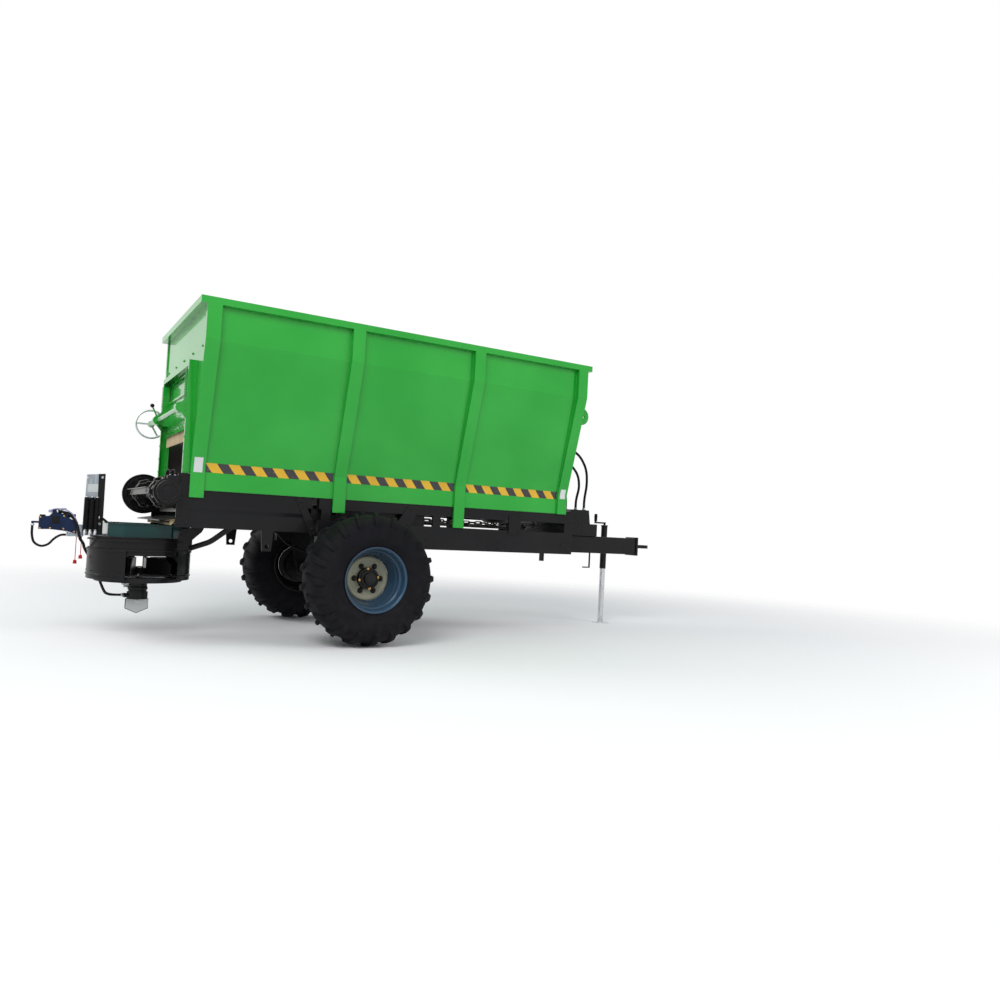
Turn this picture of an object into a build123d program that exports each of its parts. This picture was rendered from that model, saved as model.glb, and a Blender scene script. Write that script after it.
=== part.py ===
from build123d import *
import math
import os

os.makedirs("parts", exist_ok=True)

# Reach of the trailer behind and in front of its axle
REAR_REACH = 2170
EYE_REACH = 3420
EYE_OUTER_R = 62
EYE_BORE_R = 25
EYE_THICK = 34
AX = (REAR_REACH - EYE_REACH - EYE_OUTER_R) / 2

# Small gaps: between seated pieces, and around a turning shaft
SEAT = 0.3
SHAFT_GAP = 0.06

# Wheels
TYRE_D = 990
TYRE_W = 391
LUG_H = 24
WHEEL_CLEAR = 95
RIM_D = 483
RIM_WALL = 9
BEAD_DROP = 14
DISC_D = 322
DISC_INSET = 208
DISC_T = 14
HUB_D = 160
HUB_CAP_D = 96
STUD_CIRCLE_D = 205
STUD_COUNT = 6
AXLE_Z = TYRE_D / 2
AXLE_SIZE = 90
BRAKE_D = 300

# Hopper
RIM_REAR = 1285
HOPPER_L = 3314
HOPPER_W = 1670
RIM_TOP = 2390
RIM_H = 48
RIM_W = 62
RIM_OVERHANG = 43
WALL = 5
POST_W = 97
POST_COUNT = 4
KINK_HIGH = 2103
KINK_LOW = 1246
NECK_W = 1198
SKIN_BOTTOM = 1073
SKIN_IN_HIGH = 40
SKIN_IN_LOW = 20
POST_FOOT = [1023, 972, 904, 1073]
END_WALL_IN = 9
FRONT_WALL_IN = 42
RIB_H = 70
RIB_HEIGHTS = [1400, 1720, 2040]
LUG_R = 75
LUG_HOLE_R = 16
LUG_T = 12
LUG_Z = 1955
LUG_Y = 715
LUG_X = 2020

# Chassis
DEEP_RAIL_BOTTOM = 810
DEEP_RAIL_END = -300
STRAP_HEAD_X = -485
STRAP_FOOT_X = -350
STRAP_W = 58
STRAP_T = 8
GUSSET_X = 440
STANCHION_X = 1456
STANCHION_W = 122
UPRIGHT_X = [-240, 700, 1440, 2025]
HANGER_X = -676
HANGER_H = 150
HOUSING_R = 58
HOUSING_L = 24
CREASE_HIGH = 949
CREASE_LOW = 920
CREASE_STEP = 8
UPPER_RAIL_BOTTOM = 992
LOWER_BEAM_TOP = 904
LOWER_BEAM_BOTTOM = 715
RAIL_W = 60
LOWER_BEAM_W = 70
CHASSIS_FRONT = 2060
FRONT_PLATE_T = 20
CROSS_H = 70
CROSS_W = 80
CROSS_X = [-1100, -560, 620, 1300, 1960]

# Conveyor
SHAFT_Z = 1050
DRIVE_X = -1380
IDLER_X = 1790
CHAIN_R = 95
CHAIN_W = 36
CHAIN_H = 30
CHAIN_IN = 189
SLAT_COUNT = 24
SLAT_IN = 74
SLAT_W = 46
SLAT_H = 40
SLAT_T = 6
DRIVE_SHAFT_R = 26
DRIVE_DISC_D = 320
DRIVE_DISC_T = 22
DRIVE_DISC_GAP = 26
MOTOR_D = 190
MOTOR_L = 66
END_PLATE_TOP = 1187
END_PLATE_L = 76
END_PLATE_T = 12
BEARING_R = 82

# Gate and its gear
GATE_OPEN_IN = 109
GATE_OPEN_TOP = 1485
RAIL_IN = 19
GATE_RAIL_D = 58
GATE_RAIL_FLANGE = 60
GATE_RAIL_TOP = 1990
GATE_RAIL_BOTTOM = 1190
GATE_TOP_BAR_H = 40
GATE_T = 6
GATE_IN = 15
GATE_BOTTOM = 1505
GATE_TOP = 1795
GATE_DROP = 235
FLAP_BOTTOM = 1428
FLAP_T = 8
RACK_IN = 53
RACK_W = 24
PINION_TEETH = 12
GATE_SHAFT_X = -1325
GATE_SHAFT_Z = 1648
GATE_SHAFT_R = 17.5
PINION_R = 24
PINION_W = 18
GEAR_CASE_R = 38
HANDWHEEL_OUT = 35
HANDWHEEL_D = 250
HANDWHEEL_TUBE = 16

# Spreader
DRUM_X = -1455
DRUM_R = 340
DRUM_WALL = 6
DRUM_TOP = 715
DRUM_RING_BOTTOM = 590
GUARD_R = 352
GUARD_TOP = 622
GUARD_BOTTOM = 412
GUARD_LIP = 6
FLANGE_T = 8
CARRIER_BOTTOM = 394
BRACKET_Y = 262
BRACKET_T = 12
STRUT_R = 20
STRUT_FOOT_X = -925
TRAY_L = 500
TRAY_W = 560
TRAY_TOP = 815
TRAY_CHAMFER = 90
SPIN_R = 290
SPIN_Z = 440
SPIN_T = 8
VANE_COUNT = 6
VANE_H = 122
VANE_T = 7
VANE_LIP = 26
VANE_INNER = 72
VANE_TURN = 15
SPIN_MOTOR_R = 72
SPIN_MOTOR_TOP = 418
SPIN_MOTOR_BOTTOM = 258
FOOT_W = 156
FOOT_T = 10
FOOT_TOP = 258
FOOT_BOTTOM = 152

# Drawbar, its box and the parking jack
DRAWBAR_BOTTOM = 720
DRAWBAR_H = 168
DRAWBAR_W = 150
DRAWBAR_END = 3290
BOX_L = 660
BOX_H = 120
BOX_W = 190
BRACKET_H = 136
JACK_X = 3010
JACK_OUT_R = 32
JACK_WALL = 4
JACK_BOTTOM = 560
JACK_TOP = 1010
JACK_FOOT_R = 85
JACK_FOOT_T = 8
SPINDLE_R = 32

# Widths and heights worked out from the sizes above
HALF_W = HOPPER_W / 2
HALF_NECK = NECK_W / 2
RIM_BOT = RIM_TOP - RIM_H
FRAME_Y = HALF_NECK - SKIN_IN_LOW
RIM_X0 = AX - RIM_REAR
POST_X0 = RIM_X0 + RIM_OVERHANG
POST_X1 = RIM_X0 + HOPPER_L - RIM_OVERHANG
POST_PITCH = (POST_X1 - POST_X0 - POST_W) / (POST_COUNT - 1)
POST_X = [POST_X0 + POST_PITCH * i for i in range(POST_COUNT)]
SKIN_HIGH = HALF_W - SKIN_IN_HIGH
TRACK = NECK_W + TYRE_W + 2 * WHEEL_CLEAR
TYRE_IN = TRACK / 2 - TYRE_W / 2
TYRE_OUT = TRACK / 2 + TYRE_W / 2
FLOOR_TOP = SHAFT_Z + CHAIN_R - CHAIN_H / 2 - SEAT
REAR_WALL_X = POST_X0 + END_WALL_IN
FRONT_WALL_X = POST_X1 - FRONT_WALL_IN
CHAIN_Y = FRAME_Y - CHAIN_IN
SLAT_L = 2 * (FRAME_Y - SLAT_IN)
GATE_OPEN_W = 2 * (FRAME_Y - GATE_OPEN_IN)
RAIL_OUT = FRAME_Y - RAIL_IN
GATE_HALF_W = RAIL_OUT - GATE_IN
RACK_Y = RAIL_OUT - RACK_IN
HANDWHEEL_Y = HALF_W + HANDWHEEL_OUT


def skin_half(z):
    """Half width at the inner face of the side skins at height z."""
    if z >= KINK_HIGH:
        return SKIN_HIGH - WALL
    if z <= KINK_LOW:
        return FRAME_Y - WALL
    share = (z - KINK_LOW) / (KINK_HIGH - KINK_LOW)
    return FRAME_Y - WALL + share * (SKIN_HIGH - FRAME_Y)


# Side wall of the hopper, right-hand one, seen along the trailer
with BuildPart() as hopper_side_right:
    with BuildSketch(Plane.YZ.offset(POST_X0)):
        with BuildLine():
            Polyline(
                (-SKIN_HIGH, RIM_BOT),
                (-SKIN_HIGH, KINK_HIGH),
                (-FRAME_Y, KINK_LOW),
                (-FRAME_Y, SKIN_BOTTOM),
                (-FRAME_Y + WALL, SKIN_BOTTOM),
                (-FRAME_Y + WALL, KINK_LOW),
                (-SKIN_HIGH + WALL, KINK_HIGH),
                (-SKIN_HIGH + WALL, RIM_BOT),
                close=True,
            )
        make_face()
    extrude(amount=POST_X1 - POST_X0)
    for post_x, foot in zip(POST_X, POST_FOOT):
        with BuildSketch(Plane.YZ.offset(post_x)):
            with BuildLine():
                Polyline(
                    (-HALF_W, RIM_BOT),
                    (-HALF_W, KINK_HIGH),
                    (-HALF_NECK, KINK_LOW),
                    (-HALF_NECK, foot),
                    (-FRAME_Y, foot),
                    (-FRAME_Y, KINK_LOW),
                    (-SKIN_HIGH, KINK_HIGH),
                    (-SKIN_HIGH, RIM_BOT),
                    close=True,
                )
            make_face()
        extrude(amount=POST_W)
    with BuildSketch(Plane.YZ.offset(RIM_X0)):
        with Locations((-HALF_W + RIM_W / 2, RIM_TOP - RIM_H / 2)):
            Rectangle(RIM_W, RIM_H)
    extrude(amount=HOPPER_L)
hopper_side_right.part.label = "hopper_side_right"
export_step(hopper_side_right.part, "parts/hopper_side_right.step")

with BuildPart() as hopper_side_left:
    mirror(hopper_side_right.part, about=Plane.XZ)
hopper_side_left.part.label = "hopper_side_left"
export_step(hopper_side_left.part, "parts/hopper_side_left.step")

# Front wall: a plate between the side skins with three pressed ribs and two lifting lugs
with BuildPart() as front_wall:
    with BuildSketch(Plane.YZ.offset(FRONT_WALL_X)):
        with BuildLine():
            Polyline(
                (-skin_half(RIM_BOT), RIM_BOT),
                (-skin_half(KINK_HIGH), KINK_HIGH),
                (-skin_half(KINK_LOW), KINK_LOW),
                (-skin_half(KINK_LOW), SKIN_BOTTOM),
                (skin_half(KINK_LOW), SKIN_BOTTOM),
                (skin_half(KINK_LOW), KINK_LOW),
                (skin_half(KINK_HIGH), KINK_HIGH),
                (skin_half(RIM_BOT), RIM_BOT),
                close=True,
            )
        make_face()
    extrude(amount=WALL)
    for rib_z in RIB_HEIGHTS:
        half = skin_half(rib_z - RIB_H / 2) - 60
        with BuildSketch(Plane.XZ.offset(-half)):
            with BuildLine():
                Polyline(
                    (FRONT_WALL_X + WALL, rib_z - RIB_H / 2),
                    (FRONT_WALL_X + FRONT_WALL_IN - 6, rib_z - RIB_H / 2 + 16),
                    (FRONT_WALL_X + FRONT_WALL_IN - 6, rib_z + RIB_H / 2 - 16),
                    (FRONT_WALL_X + WALL, rib_z + RIB_H / 2),
                    close=True,
                )
            make_face()
        extrude(amount=2 * half)
    with BuildSketch(Plane.YZ.offset(RIM_X0 + HOPPER_L - RIM_W)):
        with Locations((0, RIM_TOP - RIM_H / 2)):
            Rectangle(HOPPER_W - 2 * RIM_W, RIM_H)
    extrude(amount=RIM_W)
    with BuildSketch(Plane.YZ.offset(FRONT_WALL_X)):
        with Locations((0, RIM_BOT - 10)):
            Rectangle(2 * skin_half(RIM_BOT), 20)
    extrude(amount=FRONT_WALL_IN)
    # Apron that leads the load over the front roller
    slat_top = SHAFT_Z + CHAIN_R + SLAT_H
    with BuildSketch(Plane.XZ.offset(-(FRAME_Y - WALL))):
        with BuildLine():
            Polyline(
                (FRONT_WALL_X, KINK_LOW + 40),
                (AX + IDLER_X - 20, slat_top + 12),
                (AX + IDLER_X - 20, slat_top + 8),
                (FRONT_WALL_X, KINK_LOW + 20),
                close=True,
            )
        make_face()
    extrude(amount=2 * (FRAME_Y - WALL))
    for lug_y in (LUG_Y, -LUG_Y):
        with BuildSketch(Plane.XZ.offset(-lug_y - LUG_T / 2)):
            with Locations((AX + LUG_X, LUG_Z)):
                Circle(LUG_R)
            with Locations(((FRONT_WALL_X + WALL + AX + LUG_X) / 2, LUG_Z)):
                Rectangle(AX + LUG_X - FRONT_WALL_X - WALL, 1.6 * LUG_R)
            with Locations((AX + LUG_X + 14, LUG_Z)):
                Circle(LUG_HOLE_R, mode=Mode.SUBTRACT)
            with Locations((FRONT_WALL_X + WALL - LUG_R, LUG_Z)):
                Rectangle(2 * LUG_R, 3 * LUG_R, mode=Mode.SUBTRACT)
        extrude(amount=LUG_T)
front_wall.part.label = "front_wall"
export_step(front_wall.part, "parts/front_wall.step")

# Rear wall with the gate's opening and the overhanging rear rim
with BuildPart() as rear_wall:
    with BuildSketch(Plane.YZ.offset(REAR_WALL_X)):
        with BuildLine():
            Polyline(
                (-skin_half(RIM_BOT), RIM_BOT),
                (-skin_half(KINK_HIGH), KINK_HIGH),
                (-skin_half(KINK_LOW), KINK_LOW),
                (-skin_half(KINK_LOW), FLOOR_TOP),
                (skin_half(KINK_LOW), FLOOR_TOP),
                (skin_half(KINK_LOW), KINK_LOW),
                (skin_half(KINK_HIGH), KINK_HIGH),
                (skin_half(RIM_BOT), RIM_BOT),
                close=True,
            )
        make_face()
        with Locations((0, (FLOOR_TOP + GATE_OPEN_TOP) / 2)):
            Rectangle(GATE_OPEN_W, GATE_OPEN_TOP - FLOOR_TOP, mode=Mode.SUBTRACT)
        with Locations((0, FLOOR_TOP)):
            Rectangle(SLAT_L + 16, 2 * (CHAIN_H / 2 + SLAT_H + 12), mode=Mode.SUBTRACT)
    extrude(amount=WALL)
    with BuildSketch(Plane.YZ.offset(RIM_X0)):
        with Locations((0, RIM_TOP - RIM_H / 2)):
            Rectangle(HOPPER_W - 2 * RIM_W, RIM_H)
    extrude(amount=RIM_W + 20)
rear_wall.part.label = "rear_wall"
export_step(rear_wall.part, "parts/rear_wall.step")

# Gate frame: two channels that guide the gate, joined by a top bar
GF_X = REAR_WALL_X - GATE_RAIL_D
with BuildPart() as gate_frame:
    for side in (1, -1):
        with BuildSketch(Plane.XY.offset(GATE_RAIL_BOTTOM)):
            with Locations((REAR_WALL_X - GATE_RAIL_D / 2, side * (RAIL_OUT - 3))):
                Rectangle(GATE_RAIL_D, 6)
            with Locations((REAR_WALL_X - 3, side * (RAIL_OUT - GATE_RAIL_FLANGE / 2))):
                Rectangle(6, GATE_RAIL_FLANGE)
            with Locations((GF_X + 3, side * (RAIL_OUT - 15))):
                Rectangle(6, 30)
        extrude(amount=GATE_RAIL_TOP - GATE_RAIL_BOTTOM)
    with BuildSketch(Plane.YZ.offset(GF_X)):
        with Locations((0, GATE_RAIL_TOP - 3)):
            Rectangle(2 * RAIL_OUT, 6)
    extrude(amount=GATE_RAIL_D)
    with BuildSketch(Plane.YZ.offset(REAR_WALL_X - 6)):
        with Locations((0, GATE_RAIL_TOP - GATE_TOP_BAR_H / 2)):
            Rectangle(2 * RAIL_OUT, GATE_TOP_BAR_H)
    extrude(amount=6)
    with BuildSketch(Plane.YZ.offset(GF_X)):
        with Locations((0, GATE_RAIL_TOP - GATE_TOP_BAR_H / 2)):
            Rectangle(2 * RAIL_OUT, GATE_TOP_BAR_H)
    extrude(amount=6)
gate_frame.part.label = "gate_frame"
export_step(gate_frame.part, "parts/gate_frame.step")

# Gate: a plate with a bent lower lip, a stiffening bar and a toothed rack near each edge
GATE_X = REAR_WALL_X - 6 - SEAT - GATE_T
TOOTH = 2 * PINION_R / PINION_TEETH
RACK_PITCH = math.pi * TOOTH
RACK_FACE = AX + GATE_SHAFT_X + PINION_R - TOOTH
RACK_ROOT = RACK_FACE + 2.25 * TOOTH
RACK_TOP = GATE_SHAFT_Z + GATE_DROP + 44
RACK_BOTTOM = GATE_SHAFT_Z - 44
with BuildPart() as gate:
    with BuildSketch(Plane.YZ.offset(GATE_X)):
        with Locations((0, (GATE_TOP + GATE_BOTTOM) / 2)):
            Rectangle(2 * GATE_HALF_W, GATE_TOP - GATE_BOTTOM)
    extrude(amount=GATE_T)
    with BuildSketch(Plane.XZ.offset(-GATE_OPEN_W / 2)):
        with BuildLine():
            Polyline(
                (GATE_X, GATE_BOTTOM + 44),
                (GATE_X, GATE_BOTTOM + 34),
                (GATE_X - 22, GATE_BOTTOM),
                (GATE_X - 28, GATE_BOTTOM + 3),
                close=True,
            )
        make_face()
        with Locations((GATE_X - 6, GATE_TOP - 7)):
            Rectangle(12, 14)
    extrude(amount=GATE_OPEN_W)
    for side in (1, -1):
        with BuildSketch(Plane.XY.offset(RACK_BOTTOM)):
            with Locations(((RACK_ROOT + GATE_X) / 2, side * RACK_Y)):
                Rectangle(GATE_X - RACK_ROOT, RACK_W)
        extrude(amount=RACK_TOP - RACK_BOTTOM)
    # Rack teeth lie half a pitch from the gear's middle, where the pinion has a tooth
    below = int((GATE_SHAFT_Z - RACK_BOTTOM) / RACK_PITCH)
    above = int((RACK_TOP - GATE_SHAFT_Z) / RACK_PITCH)
    with BuildSketch(Plane.XZ.offset(-RACK_Y - RACK_W / 2)) as teeth:
        for n in range(-below, above):
            z = GATE_SHAFT_Z + (n + 0.5) * RACK_PITCH
            with BuildLine():
                Polyline(
                    (RACK_ROOT, z - 1.1 * TOOTH),
                    (RACK_FACE, z - 0.3 * TOOTH),
                    (RACK_FACE, z + 0.3 * TOOTH),
                    (RACK_ROOT, z + 1.1 * TOOTH),
                    close=True,
                )
            make_face()
    extrude(amount=RACK_W)
    with BuildSketch(Plane.XZ.offset(RACK_Y - RACK_W / 2)):
        add(teeth.sketch_local)
    extrude(amount=RACK_W)
gate.part.label = "gate"
export_step(gate.part, "parts/gate.step")

# Rubber flap hung under the gate
with BuildPart() as gate_flap:
    with BuildSketch(Plane.YZ.offset(GATE_X - FLAP_T)):
        with Locations((0, (FLAP_BOTTOM + GATE_BOTTOM + 30) / 2)):
            Rectangle(GATE_OPEN_W - 20, GATE_BOTTOM + 30 - FLAP_BOTTOM)
    extrude(amount=FLAP_T)
    with BuildSketch(Plane.XZ.offset(-GATE_OPEN_W / 2)):
        with BuildLine():
            Polyline(
                (GATE_X + 1, GATE_BOTTOM + 45),
                (GATE_X + 1, GATE_BOTTOM + 33),
                (GATE_X, GATE_BOTTOM + 34 - SEAT),
                (GATE_X - 22, GATE_BOTTOM - SEAT),
                (GATE_X - 60, GATE_BOTTOM + 3),
                (GATE_X - 60, GATE_BOTTOM + 45),
                close=True,
            )
        make_face()
    extrude(amount=GATE_OPEN_W, mode=Mode.SUBTRACT)
gate_flap.part.label = "gate_flap"
export_step(gate_flap.part, "parts/gate_flap.step")

# Gear cases on the rails, open towards the racks
CASE_IN = RACK_Y - RACK_W / 2 - 14
CASE_OUT = RAIL_OUT
CASE_CUT = RACK_FACE - 5
with BuildPart() as gear_cases:
    for side in (1, -1):
        start = CASE_IN if side > 0 else -CASE_OUT
        with BuildSketch(Plane.XZ.offset(-start)):
            with Locations((AX + GATE_SHAFT_X, GATE_SHAFT_Z)):
                Circle(GEAR_CASE_R)
        extrude(amount=-(CASE_OUT - CASE_IN))
        hollow = CASE_IN + 8 if side > 0 else -CASE_OUT + 24
        with BuildSketch(Plane.XZ.offset(-hollow)):
            with Locations((AX + GATE_SHAFT_X, GATE_SHAFT_Z)):
                Circle(GEAR_CASE_R - 8)
            with Locations((CASE_CUT + 50, GATE_SHAFT_Z)):
                Rectangle(100, 3 * GEAR_CASE_R)
        extrude(amount=-(CASE_OUT - CASE_IN - 32), mode=Mode.SUBTRACT)
        foot_y = CASE_OUT - 24 if side > 0 else -CASE_OUT
        with BuildSketch(Plane.XZ.offset(-foot_y)):
            with BuildLine():
                Polyline(
                    (GF_X, GATE_SHAFT_Z - 78),
                    (GF_X, GATE_SHAFT_Z + 78),
                    (AX + GATE_SHAFT_X, GATE_SHAFT_Z + GEAR_CASE_R - 2),
                    (AX + GATE_SHAFT_X, GATE_SHAFT_Z - GEAR_CASE_R + 2),
                    close=True,
                )
            make_face()
        extrude(amount=-24)
        with BuildSketch(Plane.XZ.offset(-start + 1)):
            with Locations((GF_X + 50, GATE_SHAFT_Z)):
                Rectangle(100, 4 * GEAR_CASE_R)
        extrude(amount=-(CASE_OUT - CASE_IN + 2), mode=Mode.SUBTRACT)
        bore_y = CASE_IN - 1 if side > 0 else -CASE_OUT + 10
        bore_l = CASE_OUT - CASE_IN + 2 if side > 0 else CASE_OUT - CASE_IN - 9
        with BuildSketch(Plane.XZ.offset(-bore_y)):
            with Locations((AX + GATE_SHAFT_X, GATE_SHAFT_Z)):
                Circle(GATE_SHAFT_R + SHAFT_GAP)
        extrude(amount=-bore_l, mode=Mode.SUBTRACT)
    lever_z = GATE_SHAFT_Z + GEAR_CASE_R - 3
    with BuildSketch(Plane.XZ.offset(-(CASE_OUT - 18))):
        with BuildLine():
            Polyline(
                (AX + GATE_SHAFT_X - 8, lever_z),
                (AX + GATE_SHAFT_X - 46, lever_z + 80),
                (AX + GATE_SHAFT_X - 37, lever_z + 84),
                (AX + GATE_SHAFT_X + 6, lever_z),
                close=True,
            )
        make_face()
        with Locations((AX + GATE_SHAFT_X - 43, lever_z + 85)):
            Circle(11)
    extrude(amount=-12)
gear_cases.part.label = "gear_cases"
export_step(gear_cases.part, "parts/gear_cases.step")

# Cross shaft with its two pinions, whose teeth run in the racks
SHAFT_END = CASE_OUT - 11
with BuildSketch() as tooth:
    with BuildLine():
        Polyline(
            (-1.4 * TOOTH, -0.9 * TOOTH),
            (0, -0.6 * TOOTH),
            (0.9 * TOOTH, -0.22 * TOOTH),
            (0.9 * TOOTH, 0.22 * TOOTH),
            (0, 0.6 * TOOTH),
            (-1.4 * TOOTH, 0.9 * TOOTH),
            close=True,
        )
    make_face()
with BuildPart() as gate_shaft:
    with BuildSketch(Plane.XZ.offset(SHAFT_END)):
        with Locations((AX + GATE_SHAFT_X, GATE_SHAFT_Z)):
            Circle(GATE_SHAFT_R)
    extrude(amount=-(SHAFT_END + HANDWHEEL_Y - 20))
    for side in (1, -1):
        with BuildSketch(Plane.XZ.offset(-side * RACK_Y + PINION_W / 2)):
            with Locations((AX + GATE_SHAFT_X, GATE_SHAFT_Z)):
                Circle(PINION_R - 1.2 * TOOTH)
                with PolarLocations(PINION_R, PINION_TEETH):
                    add(tooth.sketch)
        extrude(amount=-PINION_W)
gate_shaft.part.label = "gate_shaft"
export_step(gate_shaft.part, "parts/gate_shaft.step")

# Handwheel: rim, hub and three spokes
HW_R = HANDWHEEL_D / 2 - HANDWHEEL_TUBE / 2
with BuildPart() as handwheel:
    with BuildSketch(Plane.XY.offset(GATE_SHAFT_Z)):
        with Locations((AX + GATE_SHAFT_X + HW_R, HANDWHEEL_Y)):
            Circle(HANDWHEEL_TUBE / 2)
    revolve(axis=Axis((AX + GATE_SHAFT_X, HANDWHEEL_Y, GATE_SHAFT_Z), (0, 1, 0)), revolution_arc=360)
    with BuildSketch(Plane.XZ.offset(-HANDWHEEL_Y + 20 - SEAT)):
        with Locations((AX + GATE_SHAFT_X, GATE_SHAFT_Z)):
            Circle(28)
    extrude(amount=-(32 - SEAT))
    for turn in (180, 60, -60):
        with BuildSketch(
            Plane(
                origin=(AX + GATE_SHAFT_X, HANDWHEEL_Y, GATE_SHAFT_Z),
                x_dir=(0, 1, 0),
                z_dir=(math.cos(math.radians(turn)), 0, math.sin(math.radians(turn))),
            )
        ):
            Rectangle(10, 14)
        extrude(amount=HW_R)
handwheel.part.label = "handwheel"
export_step(handwheel.part, "parts/handwheel.step")

# Hopper floor between the side skins, with the bearers it rests on
FLOOR_X0 = REAR_WALL_X + WALL
BEARER_H = 60
FLOOR_X1 = AX + IDLER_X - CHAIN_R + 20
with BuildPart() as hopper_floor:
    with BuildSketch(Plane.YZ.offset(FLOOR_X0)):
        with Locations((0, FLOOR_TOP - WALL / 2)):
            Rectangle(2 * (FRAME_Y - WALL), WALL)
        with GridLocations(CHAIN_Y, 1, 3, 1):
            with Locations((0, FLOOR_TOP - WALL - 15)):
                Rectangle(50, 30)
    extrude(amount=FLOOR_X1 - FLOOR_X0)
    for post_x in POST_X[:3]:
        with BuildSketch(Plane.YZ.offset(post_x + 60)):
            with Locations((0, FLOOR_TOP - WALL - 30 - BEARER_H / 2)):
                Rectangle(2 * (FRAME_Y - RAIL_W - SEAT), BEARER_H)
        extrude(amount=60)
hopper_floor.part.label = "hopper_floor"
export_step(hopper_floor.part, "parts/hopper_floor.step")

# Conveyor: two endless chains joined by slats, laid over both rollers
RUN = IDLER_X - DRIVE_X
LOOP = 2 * RUN + 2 * math.pi * CHAIN_R


def loop_place(s):
    """Centre line point (x, z) and outward angle at the length s along the chain loop."""
    if s < RUN:
        return DRIVE_X + s, SHAFT_Z + CHAIN_R, 90
    s -= RUN
    if s < math.pi * CHAIN_R:
        a = 90 - math.degrees(s / CHAIN_R)
        return (
            IDLER_X + CHAIN_R * math.cos(math.radians(a)),
            SHAFT_Z + CHAIN_R * math.sin(math.radians(a)),
            a,
        )
    s -= math.pi * CHAIN_R
    if s < RUN:
        return IDLER_X - s, SHAFT_Z - CHAIN_R, -90
    s -= RUN
    a = -90 - math.degrees(s / CHAIN_R)
    return (
        DRIVE_X + CHAIN_R * math.cos(math.radians(a)),
        SHAFT_Z + CHAIN_R * math.sin(math.radians(a)),
        a,
    )


with BuildPart() as conveyor:
    for side in (1, -1):
        with BuildSketch(Plane.XZ.offset(-side * CHAIN_Y - CHAIN_W / 2)):
            for grow, mode in ((CHAIN_H / 2, Mode.ADD), (-CHAIN_H / 2, Mode.SUBTRACT)):
                with Locations((AX + (DRIVE_X + IDLER_X) / 2, SHAFT_Z)):
                    SlotCenterToCenter(RUN, 2 * (CHAIN_R + grow), mode=mode)
        extrude(amount=CHAIN_W)
    slats = []
    for n in range(SLAT_COUNT):
        x, z, a = loop_place((n + 0.5) * LOOP / SLAT_COUNT)
        out = Vector(math.cos(math.radians(a)), 0, math.sin(math.radians(a)))
        slats.append(Plane(origin=(AX + x, -SLAT_L / 2, z), x_dir=out, z_dir=(0, 1, 0)))
    with BuildSketch(*slats):
        with BuildLine():
            Polyline(
                (CHAIN_H / 2 - SLAT_T + 1, -SLAT_W / 2),
                (CHAIN_H / 2 + 1, -SLAT_W / 2),
                (CHAIN_H / 2 + 1, SLAT_W / 2 - SLAT_T),
                (SLAT_H, SLAT_W / 2 - SLAT_T),
                (SLAT_H, SLAT_W / 2),
                (CHAIN_H / 2 - SLAT_T + 1, SLAT_W / 2),
                close=True,
            )
        make_face()
    extrude(amount=SLAT_L)
conveyor.part.label = "conveyor"
export_step(conveyor.part, "parts/conveyor.step")

# Rollers: the drive shaft with its sprocket drums, and the plain front roller
WHEEL_R = CHAIN_R - CHAIN_H / 2 - SEAT
with BuildPart() as conveyor_rollers:
    with BuildSketch(Plane.XZ.offset(-FRAME_Y)):
        with Locations((AX + DRIVE_X, SHAFT_Z)):
            Circle(DRIVE_SHAFT_R)
    extrude(amount=2 * FRAME_Y)
    for side in (1, 0, -1):
        with BuildSketch(Plane.XZ.offset(-side * CHAIN_Y - 30)):
            with Locations((AX + DRIVE_X, SHAFT_Z)):
                Circle(WHEEL_R if side else DRIVE_SHAFT_R + 14)
        extrude(amount=60)
    with BuildSketch(Plane.XZ.offset(-(FRAME_Y - RAIL_W))):
        with Locations((AX + IDLER_X, SHAFT_Z)):
            Circle(DRIVE_SHAFT_R)
    extrude(amount=2 * (FRAME_Y - RAIL_W))
    with BuildSketch(Plane.XZ.offset(-SLAT_L / 2 + 20)):
        with Locations((AX + IDLER_X, SHAFT_Z)):
            Circle(WHEEL_R)
    extrude(amount=SLAT_L - 40)
conveyor_rollers.part.label = "conveyor_rollers"
export_step(conveyor_rollers.part, "parts/conveyor_rollers.step")

# Hydraulic motor that drives the conveyor, on the right-hand end plate
with BuildPart() as conveyor_motor:
    with BuildSketch(Plane.XZ.offset(FRAME_Y)):
        with Locations((AX + DRIVE_X, SHAFT_Z)):
            Circle(MOTOR_D / 2)
    extrude(amount=22)
    with BuildSketch(Plane.XZ.offset(FRAME_Y + 22)):
        with Locations((AX + DRIVE_X, SHAFT_Z)):
            Circle(MOTOR_D / 2 - 12)
    extrude(amount=MOTOR_L - 22)
    fillet(conveyor_motor.faces().sort_by(Axis.Y)[0].edges(), radius=8)
    # Port block on top of the motor
    with BuildSketch(Plane.XY.offset(SHAFT_Z + MOTOR_D / 2 - 24)):
        with Locations((AX + DRIVE_X + 20, -FRAME_Y - 30)):
            Rectangle(70, 44)
    extrude(amount=44)
conveyor_motor.part.label = "conveyor_motor"
export_step(conveyor_motor.part, "parts/conveyor_motor.step")

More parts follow.
